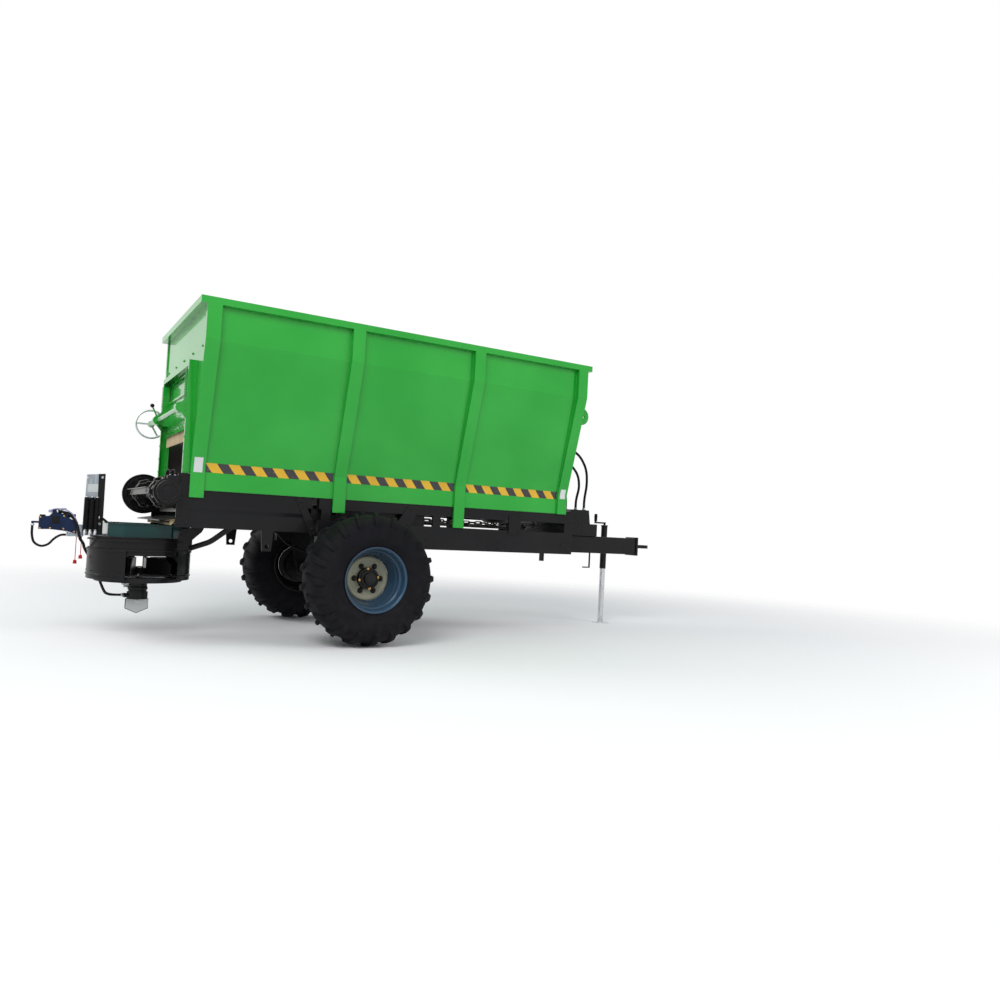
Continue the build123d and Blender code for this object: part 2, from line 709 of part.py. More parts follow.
# Round guard on the other end of the drive shaft
with BuildPart() as drive_disc:
    with BuildSketch(Plane.XZ.offset(-FRAME_Y)):
        with Locations((AX + DRIVE_X, SHAFT_Z)):
            Circle(BEARING_R - 20)
    extrude(amount=-DRIVE_DISC_GAP)
    with BuildSketch(Plane.XZ.offset(-FRAME_Y - DRIVE_DISC_GAP)):
        with Locations((AX + DRIVE_X, SHAFT_Z)):
            Circle(DRIVE_DISC_D / 2)
    extrude(amount=-DRIVE_DISC_T)
    with BuildSketch(Plane.XZ.offset(-FRAME_Y - DRIVE_DISC_GAP - DRIVE_DISC_T)):
        with Locations((AX + DRIVE_X, SHAFT_Z)):
            Circle(60)
    extrude(amount=-14)
    # Raised ring and four bolted pads on the inner face
    with BuildSketch(Plane.XZ.offset(-FRAME_Y - DRIVE_DISC_GAP + 10)):
        with Locations((AX + DRIVE_X, SHAFT_Z)):
            Circle(0.84 * DRIVE_DISC_D / 2)
            Circle(0.78 * DRIVE_DISC_D / 2, mode=Mode.SUBTRACT)
            with PolarLocations(0.62 * DRIVE_DISC_D / 2, 4, start_angle=30):
                Rectangle(44, 30)
    extrude(amount=-10)
drive_disc.part.label = "drive_disc"
export_step(drive_disc.part, "parts/drive_disc.step")

# Longitudinal chassis member, right-hand one
RAIL_X0 = POST_X0
with BuildPart() as chassis_right:
    with BuildSketch(Plane.YZ.offset(RAIL_X0)):
        with BuildLine():
            Polyline(
                (-FRAME_Y, SKIN_BOTTOM),
                (-FRAME_Y, CREASE_HIGH),
                (-FRAME_Y + CREASE_STEP, CREASE_LOW),
                (-FRAME_Y + CREASE_STEP, DEEP_RAIL_BOTTOM),
                (-FRAME_Y + RAIL_W, DEEP_RAIL_BOTTOM),
                (-FRAME_Y + RAIL_W, DEEP_RAIL_BOTTOM + 8),
                (-FRAME_Y + CREASE_STEP + 8, DEEP_RAIL_BOTTOM + 8),
                (-FRAME_Y + CREASE_STEP + 8, CREASE_LOW),
                (-FRAME_Y + 8, CREASE_HIGH),
                (-FRAME_Y + 8, SKIN_BOTTOM - 8),
                (-FRAME_Y + RAIL_W, SKIN_BOTTOM - 8),
                (-FRAME_Y + RAIL_W, SKIN_BOTTOM),
                close=True,
            )
        make_face()
    extrude(amount=AX + STRAP_FOOT_X - RAIL_X0)
    # The deep rail ends on a slant
    with BuildSketch(Plane.XZ.offset(FRAME_Y - RAIL_W)):
        with BuildLine():
            Polyline(
                (AX + STRAP_HEAD_X + 30, UPPER_RAIL_BOTTOM),
                (AX + STRAP_FOOT_X, UPPER_RAIL_BOTTOM),
                (AX + STRAP_FOOT_X, DEEP_RAIL_BOTTOM),
                close=True,
            )
        make_face()
    extrude(amount=RAIL_W, mode=Mode.SUBTRACT)
    with BuildSketch(Plane.YZ.offset(AX + DEEP_RAIL_END)):
        with Locations((-FRAME_Y + RAIL_W / 2, (SKIN_BOTTOM + UPPER_RAIL_BOTTOM) / 2)):
            Rectangle(RAIL_W, SKIN_BOTTOM - UPPER_RAIL_BOTTOM)
        with Locations(
            (-FRAME_Y + LOWER_BEAM_W / 2, (LOWER_BEAM_TOP + LOWER_BEAM_BOTTOM) / 2)
        ):
            Rectangle(LOWER_BEAM_W, LOWER_BEAM_TOP - LOWER_BEAM_BOTTOM)
    extrude(amount=CHASSIS_FRONT - DEEP_RAIL_END)
    # Upright end plate and the bearing plate of the drive shaft
    with BuildSketch(Plane.XZ.offset(FRAME_Y - END_PLATE_T)):
        with BuildLine():
            Polyline(
                (POST_X0, END_PLATE_TOP),
                (POST_X0 - END_PLATE_L, END_PLATE_TOP),
                (POST_X0 - END_PLATE_L, SHAFT_Z + BEARING_R),
                (AX + DRIVE_X, SHAFT_Z + BEARING_R),
                (AX + DRIVE_X, SHAFT_Z - BEARING_R),
                (POST_X0 - END_PLATE_L, SHAFT_Z - BEARING_R),
                (POST_X0 - END_PLATE_L, DEEP_RAIL_BOTTOM),
                (POST_X0, DEEP_RAIL_BOTTOM),
                close=True,
            )
        make_face()
        with Locations((AX + DRIVE_X, SHAFT_Z)):
            Circle(BEARING_R)
    extrude(amount=END_PLATE_T)
    with BuildSketch(Plane.XZ.offset(FRAME_Y - END_PLATE_T - 1)):
        with Locations((AX + DRIVE_X, SHAFT_Z)):
            Circle(DRIVE_SHAFT_R + SEAT)
    extrude(amount=END_PLATE_T + 2, mode=Mode.SUBTRACT)
    # Slanted strap over the rails' joint, and a gusset in front of the wheel
    with BuildSketch(Plane.XZ.offset(FRAME_Y)):
        with BuildLine():
            Polyline(
                (AX + STRAP_HEAD_X, SKIN_BOTTOM - 14),
                (AX + STRAP_HEAD_X + STRAP_W, SKIN_BOTTOM - 14),
                (AX + STRAP_FOOT_X + STRAP_W, LOWER_BEAM_BOTTOM + 70),
                (AX + STRAP_FOOT_X, LOWER_BEAM_BOTTOM + 70),
                close=True,
            )
        make_face()
        with BuildLine():
            Polyline(
                (AX + GUSSET_X, SKIN_BOTTOM - 14),
                (AX + GUSSET_X + 110, SKIN_BOTTOM - 14),
                (AX + GUSSET_X + 10, LOWER_BEAM_TOP - 20),
                (AX + GUSSET_X - 120, LOWER_BEAM_TOP - 20),
                close=True,
            )
        make_face()
        with Locations((AX + STANCHION_X, (SKIN_BOTTOM - 35 + LOWER_BEAM_TOP - 30) / 2)):
            Rectangle(STANCHION_W, SKIN_BOTTOM - 5 - LOWER_BEAM_TOP)
    extrude(amount=STRAP_T)
    # Hanger under the deep rail, behind the wheel
    with BuildSketch(Plane.XZ.offset(FRAME_Y - CREASE_STEP - 10)):
        with BuildLine():
            Polyline(
                (AX + HANGER_X - 46, DEEP_RAIL_BOTTOM),
                (AX + HANGER_X + 46, DEEP_RAIL_BOTTOM),
                (AX + HANGER_X + 34, DEEP_RAIL_BOTTOM - HANGER_H),
                (AX + HANGER_X - 34, DEEP_RAIL_BOTTOM - HANGER_H),
                close=True,
            )
        make_face()
        with Locations((AX + HANGER_X, DEEP_RAIL_BOTTOM - HANGER_H + 34)):
            Circle(15, mode=Mode.SUBTRACT)
    extrude(amount=10)
    # Bearing housing of the drive shaft, inside the end plate
    with BuildSketch(Plane.XZ.offset(FRAME_Y - END_PLATE_T - HOUSING_L)):
        with Locations((AX + DRIVE_X, SHAFT_Z)):
            Circle(HOUSING_R)
            with PolarLocations(HOUSING_R, 4, start_angle=45):
                Circle(15)
            Circle(DRIVE_SHAFT_R + SEAT, mode=Mode.SUBTRACT)
    extrude(amount=HOUSING_L)
    # Uprights between the rail and the beam
    for up_x in UPRIGHT_X:
        with BuildSketch(Plane.XY.offset(LOWER_BEAM_TOP)):
            with Locations((AX + up_x, -FRAME_Y + 12)):
                Rectangle(70, 24)
        extrude(amount=UPPER_RAIL_BOTTOM - LOWER_BEAM_TOP)
chassis_right.part.label = "chassis_right"
export_step(chassis_right.part, "parts/chassis_right.step")

with BuildPart() as chassis_left:
    mirror(chassis_right.part, about=Plane.XZ)
chassis_left.part.label = "chassis_left"
export_step(chassis_left.part, "parts/chassis_left.step")

# Cross members between the longitudinal members
with BuildPart() as crossmembers:
    for cross_x in CROSS_X:
        inner = FRAME_Y - RAIL_W if cross_x < DEEP_RAIL_END else FRAME_Y - LOWER_BEAM_W
        low = DEEP_RAIL_BOTTOM if cross_x < DEEP_RAIL_END else LOWER_BEAM_BOTTOM + 20
        with BuildSketch(Plane.YZ.offset(AX + cross_x - CROSS_W / 2)):
            with Locations((0, low + CROSS_H / 2)):
                Rectangle(2 * inner, CROSS_H)
        extrude(amount=CROSS_W)
crossmembers.part.label = "crossmembers"
export_step(crossmembers.part, "parts/crossmembers.step")

# Drawbar: a box beam between the front plate and the eye's end plate
BAR_X0 = AX + CHASSIS_FRONT + FRONT_PLATE_T
with BuildPart() as drawbar:
    with BuildSketch(Plane.YZ.offset(AX + CHASSIS_FRONT)):
        with Locations((0, (SKIN_BOTTOM + LOWER_BEAM_BOTTOM) / 2)):
            Rectangle(2 * FRAME_Y, SKIN_BOTTOM - LOWER_BEAM_BOTTOM)
    extrude(amount=FRONT_PLATE_T)
    with BuildSketch(Plane.YZ.offset(BAR_X0)):
        with Locations((0, DRAWBAR_BOTTOM + DRAWBAR_H / 2)):
            RectangleRounded(DRAWBAR_W, DRAWBAR_H, 10)
    extrude(amount=AX + DRAWBAR_END - BAR_X0 - 18)
    with BuildSketch(Plane.YZ.offset(AX + DRAWBAR_END - 18)):
        with Locations((0, DRAWBAR_BOTTOM + DRAWBAR_H / 2)):
            Rectangle(DRAWBAR_W + 30, DRAWBAR_H + 20)
    extrude(amount=18)
    # Hook and peg under the beam
    with BuildSketch(Plane.XZ.offset(-6)):
        with BuildLine():
            Polyline(
                (AX + 2738, DRAWBAR_BOTTOM),
                (AX + 2738, DRAWBAR_BOTTOM - 140),
                (AX + 2662, DRAWBAR_BOTTOM - 140),
                (AX + 2662, DRAWBAR_BOTTOM - 152),
                (AX + 2750, DRAWBAR_BOTTOM - 152),
                (AX + 2750, DRAWBAR_BOTTOM),
                close=True,
            )
        make_face()
    extrude(amount=-12)
    with BuildSketch(Plane.XY.offset(DRAWBAR_BOTTOM)):
        with Locations((AX + 2150, 0)):
            Rectangle(30, 40)
    extrude(amount=-95)
drawbar.part.label = "drawbar"
export_step(drawbar.part, "parts/drawbar.step")

# Drawbar eye on its bolted flange
EYE_Z = DRAWBAR_BOTTOM + DRAWBAR_H / 2
with BuildPart() as hitch_eye:
    with BuildSketch(Plane.YZ.offset(AX + DRAWBAR_END)):
        with Locations((0, EYE_Z)):
            RectangleRounded(130, 130, 14)
    extrude(amount=22)
    with BuildSketch(Plane.XY.offset(EYE_Z - EYE_THICK / 2)):
        with Locations((AX + EYE_REACH, 0)):
            Circle(EYE_OUTER_R)
        with Locations((AX + (DRAWBAR_END + EYE_REACH) / 2, 0)):
            Rectangle(EYE_REACH - DRAWBAR_END, 80)
    extrude(amount=EYE_THICK)
    with BuildSketch(Plane.XY.offset(EYE_Z - EYE_THICK / 2)):
        with Locations((AX + EYE_REACH, 0)):
            Circle(EYE_BORE_R)
    extrude(amount=EYE_THICK, mode=Mode.SUBTRACT)
hitch_eye.part.label = "hitch_eye"
export_step(hitch_eye.part, "parts/hitch_eye.step")

# Box on the drawbar with the hose bracket standing on it
BOX_Z = DRAWBAR_BOTTOM + DRAWBAR_H
with BuildPart() as drawbar_box:
    with BuildSketch(Plane.XY.offset(BOX_Z)):
        with Locations((BAR_X0 + BOX_L / 2, 0)):
            Rectangle(BOX_L, BOX_W)
    extrude(amount=BOX_H)
    with BuildSketch(Plane.XZ.offset(-BOX_W / 2 + 8)):
        with BuildLine():
            Polyline(
                (BAR_X0 + 290, BOX_Z + BOX_H),
                (BAR_X0 + 320, BOX_Z + BOX_H + BRACKET_H - 26),
                (BAR_X0 + 350, BOX_Z + BOX_H + BRACKET_H),
                (BAR_X0 + 556, BOX_Z + BOX_H + BRACKET_H),
                (BAR_X0 + 575, BOX_Z + BOX_H),
                close=True,
            )
        make_face()
    extrude(amount=BOX_W - 16)
drawbar_box.part.label = "drawbar_box"
export_step(drawbar_box.part, "parts/drawbar_box.step")

# Axle: square beam, round spindles, brake drums with back plates
SPINDLE_END = TYRE_OUT - DISC_INSET + 10
with BuildPart() as axle:
    with BuildSketch(Plane.XZ.offset(-(TYRE_IN - 10))):
        with Locations((AX, AXLE_Z)):
            Rectangle(AXLE_SIZE, AXLE_SIZE)
    extrude(amount=2 * (TYRE_IN - 10))
    for side in (1, -1):
        with BuildSketch(Plane.XZ.offset(-side * (TYRE_IN - 30))):
            with Locations((AX, AXLE_Z)):
                Circle(BRAKE_D / 2)
        extrude(amount=-side * 70)
        with BuildSketch(Plane.XZ.offset(-side * (TYRE_IN + 40))):
            with Locations((AX, AXLE_Z)):
                Circle(SPINDLE_R)
        extrude(amount=-side * (SPINDLE_END - TYRE_IN - 40))
axle.part.label = "axle"
export_step(axle.part, "parts/axle.step")

# Pedestals that carry the chassis on the axle
with BuildPart() as axle_brackets:
    for side in (1, -1):
        with BuildSketch(Plane.XZ.offset(-side * (FRAME_Y - CREASE_STEP))):
            with BuildLine():
                Polyline(
                    (AX - 150, LOWER_BEAM_BOTTOM),
                    (AX + 150, LOWER_BEAM_BOTTOM),
                    (AX + 95, AXLE_Z - AXLE_SIZE / 2 - 14),
                    (AX - 95, AXLE_Z - AXLE_SIZE / 2 - 14),
                    close=True,
                )
            make_face()
            with Locations((AX, AXLE_Z)):
                Rectangle(AXLE_SIZE + SEAT, AXLE_SIZE + SEAT, mode=Mode.SUBTRACT)
        extrude(amount=side * 60)
axle_brackets.part.label = "axle_brackets"
export_step(axle_brackets.part, "parts/axle_brackets.step")

# Tyre: a many-sided carcass with two rows of bent lugs, staggered by half a pitch
R_OUT = TYRE_D / 2
R_BEAD = RIM_D / 2 - BEAD_DROP
CROWN = R_OUT - LUG_H
LUG_COUNT = 20
LUG_ROOT = CROWN - 60
WHEEL_AXIS = Axis((AX, 0, AXLE_Z), (0, 1, 0))
WHEEL_PLANE = Plane(origin=(AX, 0, AXLE_Z), x_dir=(0, 1, 0), z_dir=(1, 0, 0))
CARCASS = [
    # in from the tyre's face, radius
    (42, R_BEAD),
    (0, RIM_D / 2 + 92),
    (20, CROWN - 54),
    (72, CROWN - 6),
]
LUG_BARS = [
    # skew in degrees, half thickness, shift round the tread, outline as (across, radius)
    (26, 14, -16, [(2, LUG_ROOT), (98, LUG_ROOT), (98, R_OUT - 4), (2, R_OUT)]),
    (
        4,
        23,
        14,
        [
            (74, LUG_ROOT),
            (TYRE_W / 2 - 4, LUG_ROOT),
            (TYRE_W / 2 - 4, CROWN - 44),
            (TYRE_W / 2 - 38, CROWN + 8),
            (74, R_OUT - 3),
        ],
    ),
]


def lug_plane(turn, side, skew, shift):
    """Plane of a lug's outline: x runs across the tread, leant by the skew, and y runs outwards."""
    out = Vector(math.cos(turn), 0, math.sin(turn))
    along = Vector(-math.sin(turn), 0, math.cos(turn))
    lean = math.radians(skew)
    across = Vector(0, side, 0) * math.cos(lean) + along * math.sin(lean)
    return Plane(
        origin=Vector(AX, -TRACK / 2, AXLE_Z) + along * shift,
        x_dir=across,
        z_dir=across.cross(out),
    )


with BuildPart() as tyre_right:
    far_half = [(TYRE_W - inset, radius) for inset, radius in reversed(CARCASS)]
    for inset, radius in CARCASS + far_half:
        with BuildSketch(Plane.XZ.offset(TYRE_OUT - inset)):
            with Locations((AX, AXLE_Z)):
                RegularPolygon(radius, 2 * LUG_COUNT, rotation=90 / LUG_COUNT)
    loft(ruled=True)
    with BuildSketch(Plane.XZ.offset(TYRE_IN - 1)):
        with Locations((AX, AXLE_Z)):
            Circle(R_BEAD)
    extrude(amount=TYRE_W + 2, mode=Mode.SUBTRACT)
    for side, stagger in ((-1, 0), (1, 0.5)):
        for skew, half, shift, outline in LUG_BARS:
            turns = [math.radians(-90 + (n + stagger) * 360 / LUG_COUNT) for n in range(LUG_COUNT)]
            with BuildSketch(*[lug_plane(turn, side, skew, shift) for turn in turns]):
                with BuildLine():
                    Polyline(*outline, close=True)
                make_face()
            extrude(amount=half, both=True)
tyre_right.part.label = "tyre_right"
export_step(tyre_right.part, "parts/tyre_right.step")

with BuildPart() as tyre_left:
    mirror(tyre_right.part, about=Plane.XZ)
tyre_left.part.label = "tyre_left"
export_step(tyre_left.part, "parts/tyre_left.step")

# Wheel rim: a deep stepped dish whose disc carries the studs' holes
SEAT_R = R_BEAD - SEAT
FLANGE_R = RIM_D / 2
DISH_R = DISC_D / 2
with BuildPart() as rim_right:
    with BuildSketch(WHEEL_PLANE):
        with BuildLine():
            Polyline(
                (-TYRE_OUT + 22, FLANGE_R),
                (-TYRE_OUT + 32.2, FLANGE_R),
                (-TYRE_OUT + 41.6, SEAT_R),
                (-TYRE_OUT + 84, SEAT_R),
                (-TYRE_OUT + 96, SEAT_R - 15),
                (-TYRE_OUT + 150, SEAT_R - 31),
                (-TYRE_OUT + DISC_INSET, DISH_R + 11),
                (-TYRE_OUT + DISC_INSET + 24, DISH_R + 11),
                (-TYRE_OUT + DISC_INSET + 54, SEAT_R - 21),
                (-TYRE_IN - 85, SEAT_R),
                (-TYRE_IN - 41.6, SEAT_R),
                (-TYRE_IN - 32.2, FLANGE_R),
                (-TYRE_IN - 22, FLANGE_R),
                (-TYRE_IN - 22, SEAT_R - RIM_WALL),
                (-TYRE_IN - 80, SEAT_R - RIM_WALL),
                (-TYRE_OUT + DISC_INSET + 62, SEAT_R - 31),
                (-TYRE_OUT + DISC_INSET + 30, DISH_R),
                (-TYRE_OUT + DISC_INSET + DISC_T, DISH_R),
                (-TYRE_OUT + DISC_INSET + DISC_T, HUB_D / 2 + SEAT),
                (-TYRE_OUT + DISC_INSET, HUB_D / 2 + SEAT),
                (-TYRE_OUT + DISC_INSET, DISH_R),
                (-TYRE_OUT + 150, SEAT_R - 43),
                (-TYRE_OUT + 130, SEAT_R - 37),
                (-TYRE_OUT + 122, SEAT_R - 27),
                (-TYRE_OUT + 88, SEAT_R - 23),
                (-TYRE_OUT + 80, SEAT_R - 10),
                (-TYRE_OUT + 22, SEAT_R - RIM_WALL + 1),
                close=True,
            )
        make_face()
    revolve(axis=WHEEL_AXIS, revolution_arc=360)
    with BuildSketch(Plane.XZ.offset(TYRE_OUT - DISC_INSET - DISC_T - 1)):
        with Locations((AX, AXLE_Z)):
            with PolarLocations(STUD_CIRCLE_D / 2, STUD_COUNT):
                Circle(9 + SEAT)
    extrude(amount=DISC_T + 2, mode=Mode.SUBTRACT)
rim_right.part.label = "rim_right"
export_step(rim_right.part, "parts/rim_right.step")

with BuildPart() as rim_left:
    mirror(rim_right.part, about=Plane.XZ)
rim_left.part.label = "rim_left"
export_step(rim_left.part, "parts/rim_left.step")

# Hub: flange behind the disc, studs with nuts through it, and the protruding cap
HUB_BACK = TYRE_OUT - DISC_INSET - DISC_T - SEAT
with BuildPart() as hub_right:
    with BuildSketch(Plane.XZ.offset(HUB_BACK - 16)):
        with Locations((AX, AXLE_Z)):
            Circle(STUD_CIRCLE_D / 2 + 22)
    extrude(amount=16)
    with BuildSketch(Plane.XZ.offset(HUB_BACK - 16)):
        with Locations((AX, AXLE_Z)):
            Circle(HUB_D / 2)
    extrude(amount=16 + DISC_T + 34)
    with BuildSketch(Plane.XZ.offset(HUB_BACK + DISC_T + 34)):
        with Locations((AX, AXLE_Z)):
            Circle(HUB_CAP_D / 2)
    extrude(amount=46)
    fillet(hub_right.faces().sort_by(Axis.Y)[0].edges(), radius=10)
    with BuildSketch(Plane.XZ.offset(HUB_BACK)):
        with Locations((AX, AXLE_Z)):
            with PolarLocations(STUD_CIRCLE_D / 2, STUD_COUNT):
                Circle(9)
    extrude(amount=DISC_T + 2 * SEAT + 24)
    with BuildSketch(Plane.XZ.offset(HUB_BACK + DISC_T + 2 * SEAT)):
        with Locations((AX, AXLE_Z)):
            with PolarLocations(STUD_CIRCLE_D / 2, STUD_COUNT):
                RegularPolygon(15, 6)
    extrude(amount=18)
    with BuildSketch(Plane.XZ.offset(HUB_BACK - 17)):
        with Locations((AX, AXLE_Z)):
            Circle(SPINDLE_R + SHAFT_GAP)
    extrude(amount=SPINDLE_END - HUB_BACK + 18, mode=Mode.SUBTRACT)
hub_right.part.label = "hub_right"
export_step(hub_right.part, "parts/hub_right.step")

with BuildPart() as hub_left:
    mirror(hub_right.part, about=Plane.XZ)
hub_left.part.label = "hub_left"
export_step(hub_left.part, "parts/hub_left.step")

# Chute that guides the load from the conveyor's end, with its scraper strip
CHUTE_Y = FRAME_Y - END_PLATE_T - 4
with BuildPart() as chute:
    with BuildSketch(Plane.XZ.offset(-CHUTE_Y)):
        with BuildLine():
            Polyline(
                (AX - 1195, 898),
                (AX - 1195, 890),
                (AX - 1420, 848),
                (AX - 1420, 856),
                close=True,
            )
        make_face()
    extrude(amount=2 * CHUTE_Y)
    with BuildSketch(Plane.XZ.offset(-CHUTE_Y)):
        with BuildLine():
            Polyline(
                (AX - 1195, 898),
                (AX - 1195, DEEP_RAIL_BOTTOM + 8 + SEAT),
                (AX - 1205, DEEP_RAIL_BOTTOM + 8 + SEAT),
                (AX - 1205, 898),
                close=True,
            )
        make_face()
    extrude(amount=2 * CHUTE_Y)
chute.part.label = "chute"
export_step(chute.part, "parts/chute.step")

with BuildPart() as scraper:
    with BuildSketch(Plane.XZ.offset(-CHUTE_Y + 20)):
        with BuildLine():
            Polyline(
                (AX - 1300, 870.4 - SEAT),
                (AX - 1340, 863 - SEAT),
                (AX - 1348, 824),
                (AX - 1338, 822),
                close=True,
            )
        make_face()
    extrude(amount=2 * CHUTE_Y - 40)
scraper.part.label = "scraper"
export_step(scraper.part, "parts/scraper.step")

# Spreader tray: an open funnel with chamfered corners over the drum
TRAY_FLOOR = DRUM_TOP
with BuildPart() as spreader_tray:
    with BuildSketch(Plane.XY.offset(TRAY_FLOOR)) as tray_plan:
        with Locations((AX + DRUM_X + 5, 0)):
            Rectangle(TRAY_L, TRAY_W)
        chamfer(tray_plan.vertices(), TRAY_CHAMFER)
    extrude(amount=TRAY_TOP - TRAY_FLOOR)
    with BuildSketch(Plane.XY.offset(TRAY_FLOOR + 6)) as tray_low:
        with Locations((AX + DRUM_X + 5, 0)):
            Rectangle(TRAY_L - 10, TRAY_W - 10)
        chamfer(tray_low.vertices(), TRAY_CHAMFER)
    extrude(amount=TRAY_TOP - TRAY_FLOOR, mode=Mode.SUBTRACT)
    with BuildSketch(Plane.XY.offset(TRAY_FLOOR - 1)):
        with Locations((AX + DRUM_X + 5, 0)):
            RectangleRounded(TRAY_L - 90, TRAY_W - 90, 80)
    extrude(amount=10, mode=Mode.SUBTRACT)
spreader_tray.part.label = "spreader_tray"
export_step(spreader_tray.part, "parts/spreader_tray.step")

# Spreader drum: a top plate and a ring round the spinner
with BuildPart() as spreader_drum:
    with BuildSketch(Plane.XY.offset(DRUM_RING_BOTTOM)):
        with Locations((AX + DRUM_X, 0)):
            Circle(DRUM_R)
            Circle(DRUM_R - DRUM_WALL, mode=Mode.SUBTRACT)
    extrude(amount=DRUM_TOP - DRUM_RING_BOTTOM)
    for flange_z in (GUARD_TOP + SEAT, DRUM_TOP - 26):
        with BuildSketch(Plane.XY.offset(flange_z)):
            with Locations((AX + DRUM_X, 0)):
                Circle(GUARD_R + 6)
                Circle(DRUM_R - DRUM_WALL, mode=Mode.SUBTRACT)
        extrude(amount=FLANGE_T)
    with BuildSketch(Plane.XY.offset(CARRIER_BOTTOM)):
        with Locations((AX + DRUM_X, 0)):
            Circle(SPIN_R + 10)
            Circle(SPIN_R + 2, mode=Mode.SUBTRACT)
    extrude(amount=SPIN_Z - 12 - CARRIER_BOTTOM)
    with BuildSketch(Plane.XY.offset(DRUM_TOP - DRUM_WALL)):
        with Locations((AX + DRUM_X, 0)):
            Circle(DRUM_R)
        with Locations((AX + DRUM_X + 5, 0)):
            RectangleRounded(TRAY_L - 90, TRAY_W - 90, 80, mode=Mode.SUBTRACT)
    extrude(amount=DRUM_WALL)
    # Carrier arm under the drum that holds the motor, with its posts up to the ring
    with BuildSketch(Plane.XY.offset(SPIN_MOTOR_TOP - 10)):
        with Locations((AX + DRUM_X, 0)):
            Rectangle(2 * DRUM_R - 12, 120)
            Circle(SPIN_MOTOR_R + 22)
            Circle(24, mode=Mode.SUBTRACT)
    extrude(amount=10)
    for side in (1, -1):
        with BuildSketch(Plane.XY.offset(SPIN_MOTOR_TOP)):
            with Locations((AX + DRUM_X + side * (DRUM_R - 12), 0)):
                Rectangle(12, 100)
        extrude(amount=DRUM_RING_BOTTOM - SPIN_MOTOR_TOP + 20)
    # Bracket plates and bent struts that carry the drum on the chassis
    ring_x = AX + DRUM_X + math.sqrt(DRUM_R**2 - BRACKET_Y**2) - 4
    cross_x = AX + CROSS_X[0]
    for side in (1, -1):
        with BuildSketch(Plane.XZ.offset(-side * BRACKET_Y - BRACKET_T / 2)):
            with BuildLine():
                Polyline(
                    (ring_x, DRUM_TOP - 8),
                    (ring_x + 20, DRUM_TOP + 72),
                    (cross_x - CROSS_W / 2 + 10, DEEP_RAIL_BOTTOM),
                    (cross_x + CROSS_W / 2, DEEP_RAIL_BOTTOM),
                    (cross_x + CROSS_W / 2 - 16, DEEP_RAIL_BOTTOM - 34),
                    (cross_x - CROSS_W / 2, DRUM_TOP),
                    (cross_x - CROSS_W / 2, GUARD_TOP + 16),
                    (ring_x, GUARD_TOP + 16),
                    close=True,
                )
            make_face()
        extrude(amount=BRACKET_T)
        route = [
            (cross_x - CROSS_W / 2 - 6, side * (BRACKET_Y + 4), GUARD_TOP + 34),
            (cross_x + 60, side * (BRACKET_Y + 140), GUARD_TOP + 88),
            (AX + STRUT_FOOT_X, side * (FRAME_Y - 30), DEEP_RAIL_BOTTOM + 20),
        ]
        with BuildLine() as strut:
            FilletPolyline(*route, radius=260)
        with BuildSketch(Plane(origin=strut.line @ 0, z_dir=strut.line % 0)):
            Circle(STRUT_R)
        sweep(path=strut.line)
        with BuildSketch(Plane.XY.offset(DEEP_RAIL_BOTTOM - SEAT)):
            with Locations((AX + STRUT_FOOT_X, side * (FRAME_Y - 30))):
                Rectangle(260, 200)
        extrude(amount=100, mode=Mode.SUBTRACT)
spreader_drum.part.label = "spreader_drum"
export_step(spreader_drum.part, "parts/spreader_drum.step")

# Curved guards on the front and rear of the drum with a rolled lip above and below
GUARD_ARCS = [
    # middle of the arc in degrees, half of its span
    (0, 50),
    (180, 68),
]
GUARD_IN = GUARD_R - DRUM_WALL
with BuildPart() as drum_guards:
    for middle, span in GUARD_ARCS:
        first = math.radians(middle - span)
        with BuildSketch(
            Plane(
                origin=(AX + DRUM_X, 0, 0),
                x_dir=(math.cos(first), math.sin(first), 0),
                z_dir=(math.sin(first), -math.cos(first), 0),
            )
        ):
            with BuildLine():
                Polyline(
                    (GUARD_IN, GUARD_BOTTOM),
                    (GUARD_R, GUARD_BOTTOM),
                    (GUARD_R, GUARD_BOTTOM + 24),
                    (GUARD_R + GUARD_LIP, GUARD_BOTTOM + 28),
                    (GUARD_R + GUARD_LIP, GUARD_BOTTOM + 36),
                    (GUARD_R, GUARD_BOTTOM + 40),
                    (GUARD_R, GUARD_TOP - FLANGE_T),
                    (GUARD_R + GUARD_LIP, GUARD_TOP - FLANGE_T),
                    (GUARD_R + GUARD_LIP, GUARD_TOP),
                    (GUARD_IN, GUARD_TOP),
                    close=True,
                )
            make_face()
        revolve(axis=Axis((AX + DRUM_X, 0, 0), (0, 0, 1)), revolution_arc=2 * span)
drum_guards.part.label = "drum_guards"
export_step(drum_guards.part, "parts/drum_guards.step")

